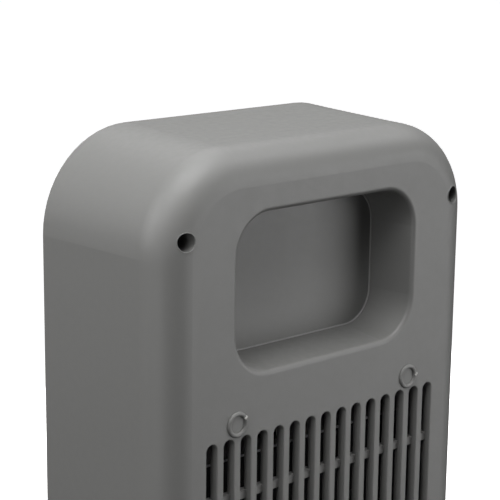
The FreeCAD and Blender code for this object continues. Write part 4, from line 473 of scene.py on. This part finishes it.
dress(stuff("grained grey base", (0.125, 0.125, 0.122), (0.117, 0.117, 0.114), 9, (0.48, 0.58), 1900,
            0.000022, IOR=1.5), "base_cover")
dress(stuff("black powder coat", (0.03, 0.03, 0.03), (0.02, 0.02, 0.02), 200, (0.45, 0.65), 1400,
            0.00005), "base_plate")
dress(stuff("cast iron", (0.12, 0.115, 0.11), (0.06, 0.055, 0.05), 90, (0.6, 0.85), 700, 0.0002,
            Metallic=0.6), "ballast_ring")
dress(stuff("black rubber", (0.025, 0.025, 0.025), (0.016, 0.016, 0.016), 150, (0.65, 0.85), 1600,
            0.00004), "rubber_feet", "cord_gland")
dress(stuff("natural nylon", (0.80, 0.78, 0.70), (0.72, 0.70, 0.62), 120, (0.35, 0.5), 1500, 0.00002),
      "collar_bush", "thrust_washer", "tip_plunger")
dress(stuff("glass filled nylon", (0.035, 0.035, 0.037), (0.024, 0.024, 0.026), 90, (0.4, 0.55), 1700,
            0.00003), "swivel_post")
dress(switch_black, "tip_switch")
dress(drawn_can, "swivel_motor")
dress(plated, "base_screws", "ballast_screws", "neck_screws", "post_circlip", "motor_screws",
      "motor_shaft", "tip_switch_screws", "tip_spring")

# Studio: pale floor under a white dome, soft sky and large soft lamps. The camera stands behind the
# tower's upper back corner, a little above it.

floor_size, dome_radius, glow_spread, glow_strength = 60, 15, 4, 1.5
start()
bpy.ops.mesh.primitive_plane_add(size=floor_size)
floor = bpy.context.object
floor.name = "floor"
floor.data.materials.append(stuff("pale floor", (0.90, 0.90, 0.90), (0.88, 0.88, 0.88), 2, (0.7, 0.8), 30,
                                  0.0001, Emission_Color=(1, 1, 1, 1), Emission_Strength=0.6))
floor.visible_diffuse = floor.visible_glossy = False
start()
bpy.ops.mesh.primitive_uv_sphere_add(segments=64, ring_count=32, radius=dome_radius)
bpy.ops.object.shade_smooth()
dome = bpy.context.object
dome.name = "dome"
dome.data.materials.append(stuff("white dome", (0.90, 0.90, 0.90), (0.88, 0.88, 0.88), 2, (0.8, 0.9), 30,
                                 0.0001, Emission_Color=(1, 1, 1, 1), Emission_Strength=1.0))
dome.visible_diffuse = dome.visible_glossy = dome.visible_transmission = dome.visible_shadow = False

world = bpy.data.worlds.new("studio sky")
bpy.context.scene.world = world
world.use_nodes = True
sky, wires = world.node_tree.nodes, world.node_tree.links
sky["Background"].inputs["Color"].default_value = (1, 1, 1, 1)
looking = sky.new("ShaderNodeTexCoord")
height = sky.new("ShaderNodeVectorMath")
height.operation = "DOT_PRODUCT"
height.inputs[1].default_value = (0, 0, 1)
wires.new(looking.outputs["Generated"], height.inputs[0])
glow = height.outputs["Value"]
for operation, value in (("MAXIMUM", 0), ("POWER", glow_spread), ("MULTIPLY", glow_strength)):
    step = sky.new("ShaderNodeMath")
    step.operation = operation
    step.inputs[1].default_value = value
    wires.new(glow, step.inputs[0])
    glow = step.outputs["Value"]
wires.new(glow, sky["Background"].inputs["Strength"])
bpy.context.scene.view_settings.view_transform = "Standard"


def soft_lamp(name, place, aim, width, height, power):
    """Soft lamp that faces a point and stays out of the picture."""
    data = bpy.data.lights.new(name, "AREA")
    data.shape = "RECTANGLE"
    data.size = width
    data.size_y = height
    data.energy = power
    lamp = bpy.data.objects.new(name, data)
    bpy.context.scene.collection.objects.link(lamp)
    lamp.location = place
    lamp.rotation_euler = (Vector(aim) - Vector(place)).to_track_quat("-Z", "Y").to_euler()
    lamp.visible_camera = False


soft_lamp("overhead lamp", (0.15, 0.17, 1.25), (0, 0, 0.6), 0.5, 0.5, 5.2)
soft_lamp("far top lamp", (-0.85, 0.2, 1.4), (0, 0.03, 0.61), 0.4, 0.4, 2.1)
soft_lamp("front top lamp", (-0.3, -0.4, 1.3), (0, 0, 0.6), 0.6, 0.6, 1.9)
soft_lamp("side lamp", (0.9, -0.2, 1.0), (0, 0, 0.55), 0.5, 0.7, 6.2)
soft_lamp("side top lamp", (0.9, 0.4, 1.2), (0, 0, 0.55), 0.4, 0.4, 2.2)
soft_lamp("side low lamp", (1.39, 0.6, 0.35), (0.07, 0.03, 0.5), 0.35, 0.7, 2.7)
soft_lamp("back low lamp", (-1.0, 1.1, 0.2), (0, 0.04, 0.55), 1.05, 0.6, 5.3)
soft_lamp("back lamp", (-1.0, 1.1, 0.7), (0, 0.04, 0.6), 0.95, 0.3, 6.4)
soft_lamp("front lamp", (-0.6, -1.5, 0.3), (0, 0, 0.3), 2.2, 0.5, 16)

camera_place, camera_lens, film_width = (0.4116, 0.4435, 0.7087), 117.86, 36
yaw, pitch, roll = 0.7428, -0.225, 0.012
forward = Vector((-math.sin(yaw) * math.cos(pitch), -math.cos(yaw) * math.cos(pitch), math.sin(pitch)))
level = Vector((-math.cos(yaw), math.sin(yaw), 0))
upright = level.cross(forward)
across = level * math.cos(roll) + upright * math.sin(roll)
upwards = upright * math.cos(roll) - level * math.sin(roll)
camera_data = bpy.data.cameras.new("camera")
camera_data.lens = camera_lens
camera_data.sensor_width = film_width
camera = bpy.data.objects.new("camera", camera_data)
bpy.context.scene.collection.objects.link(camera)
facing = Matrix((across, upwards, -forward)).transposed().to_4x4()
camera.matrix_world = Matrix.Translation(camera_place) @ facing
bpy.context.scene.camera = camera
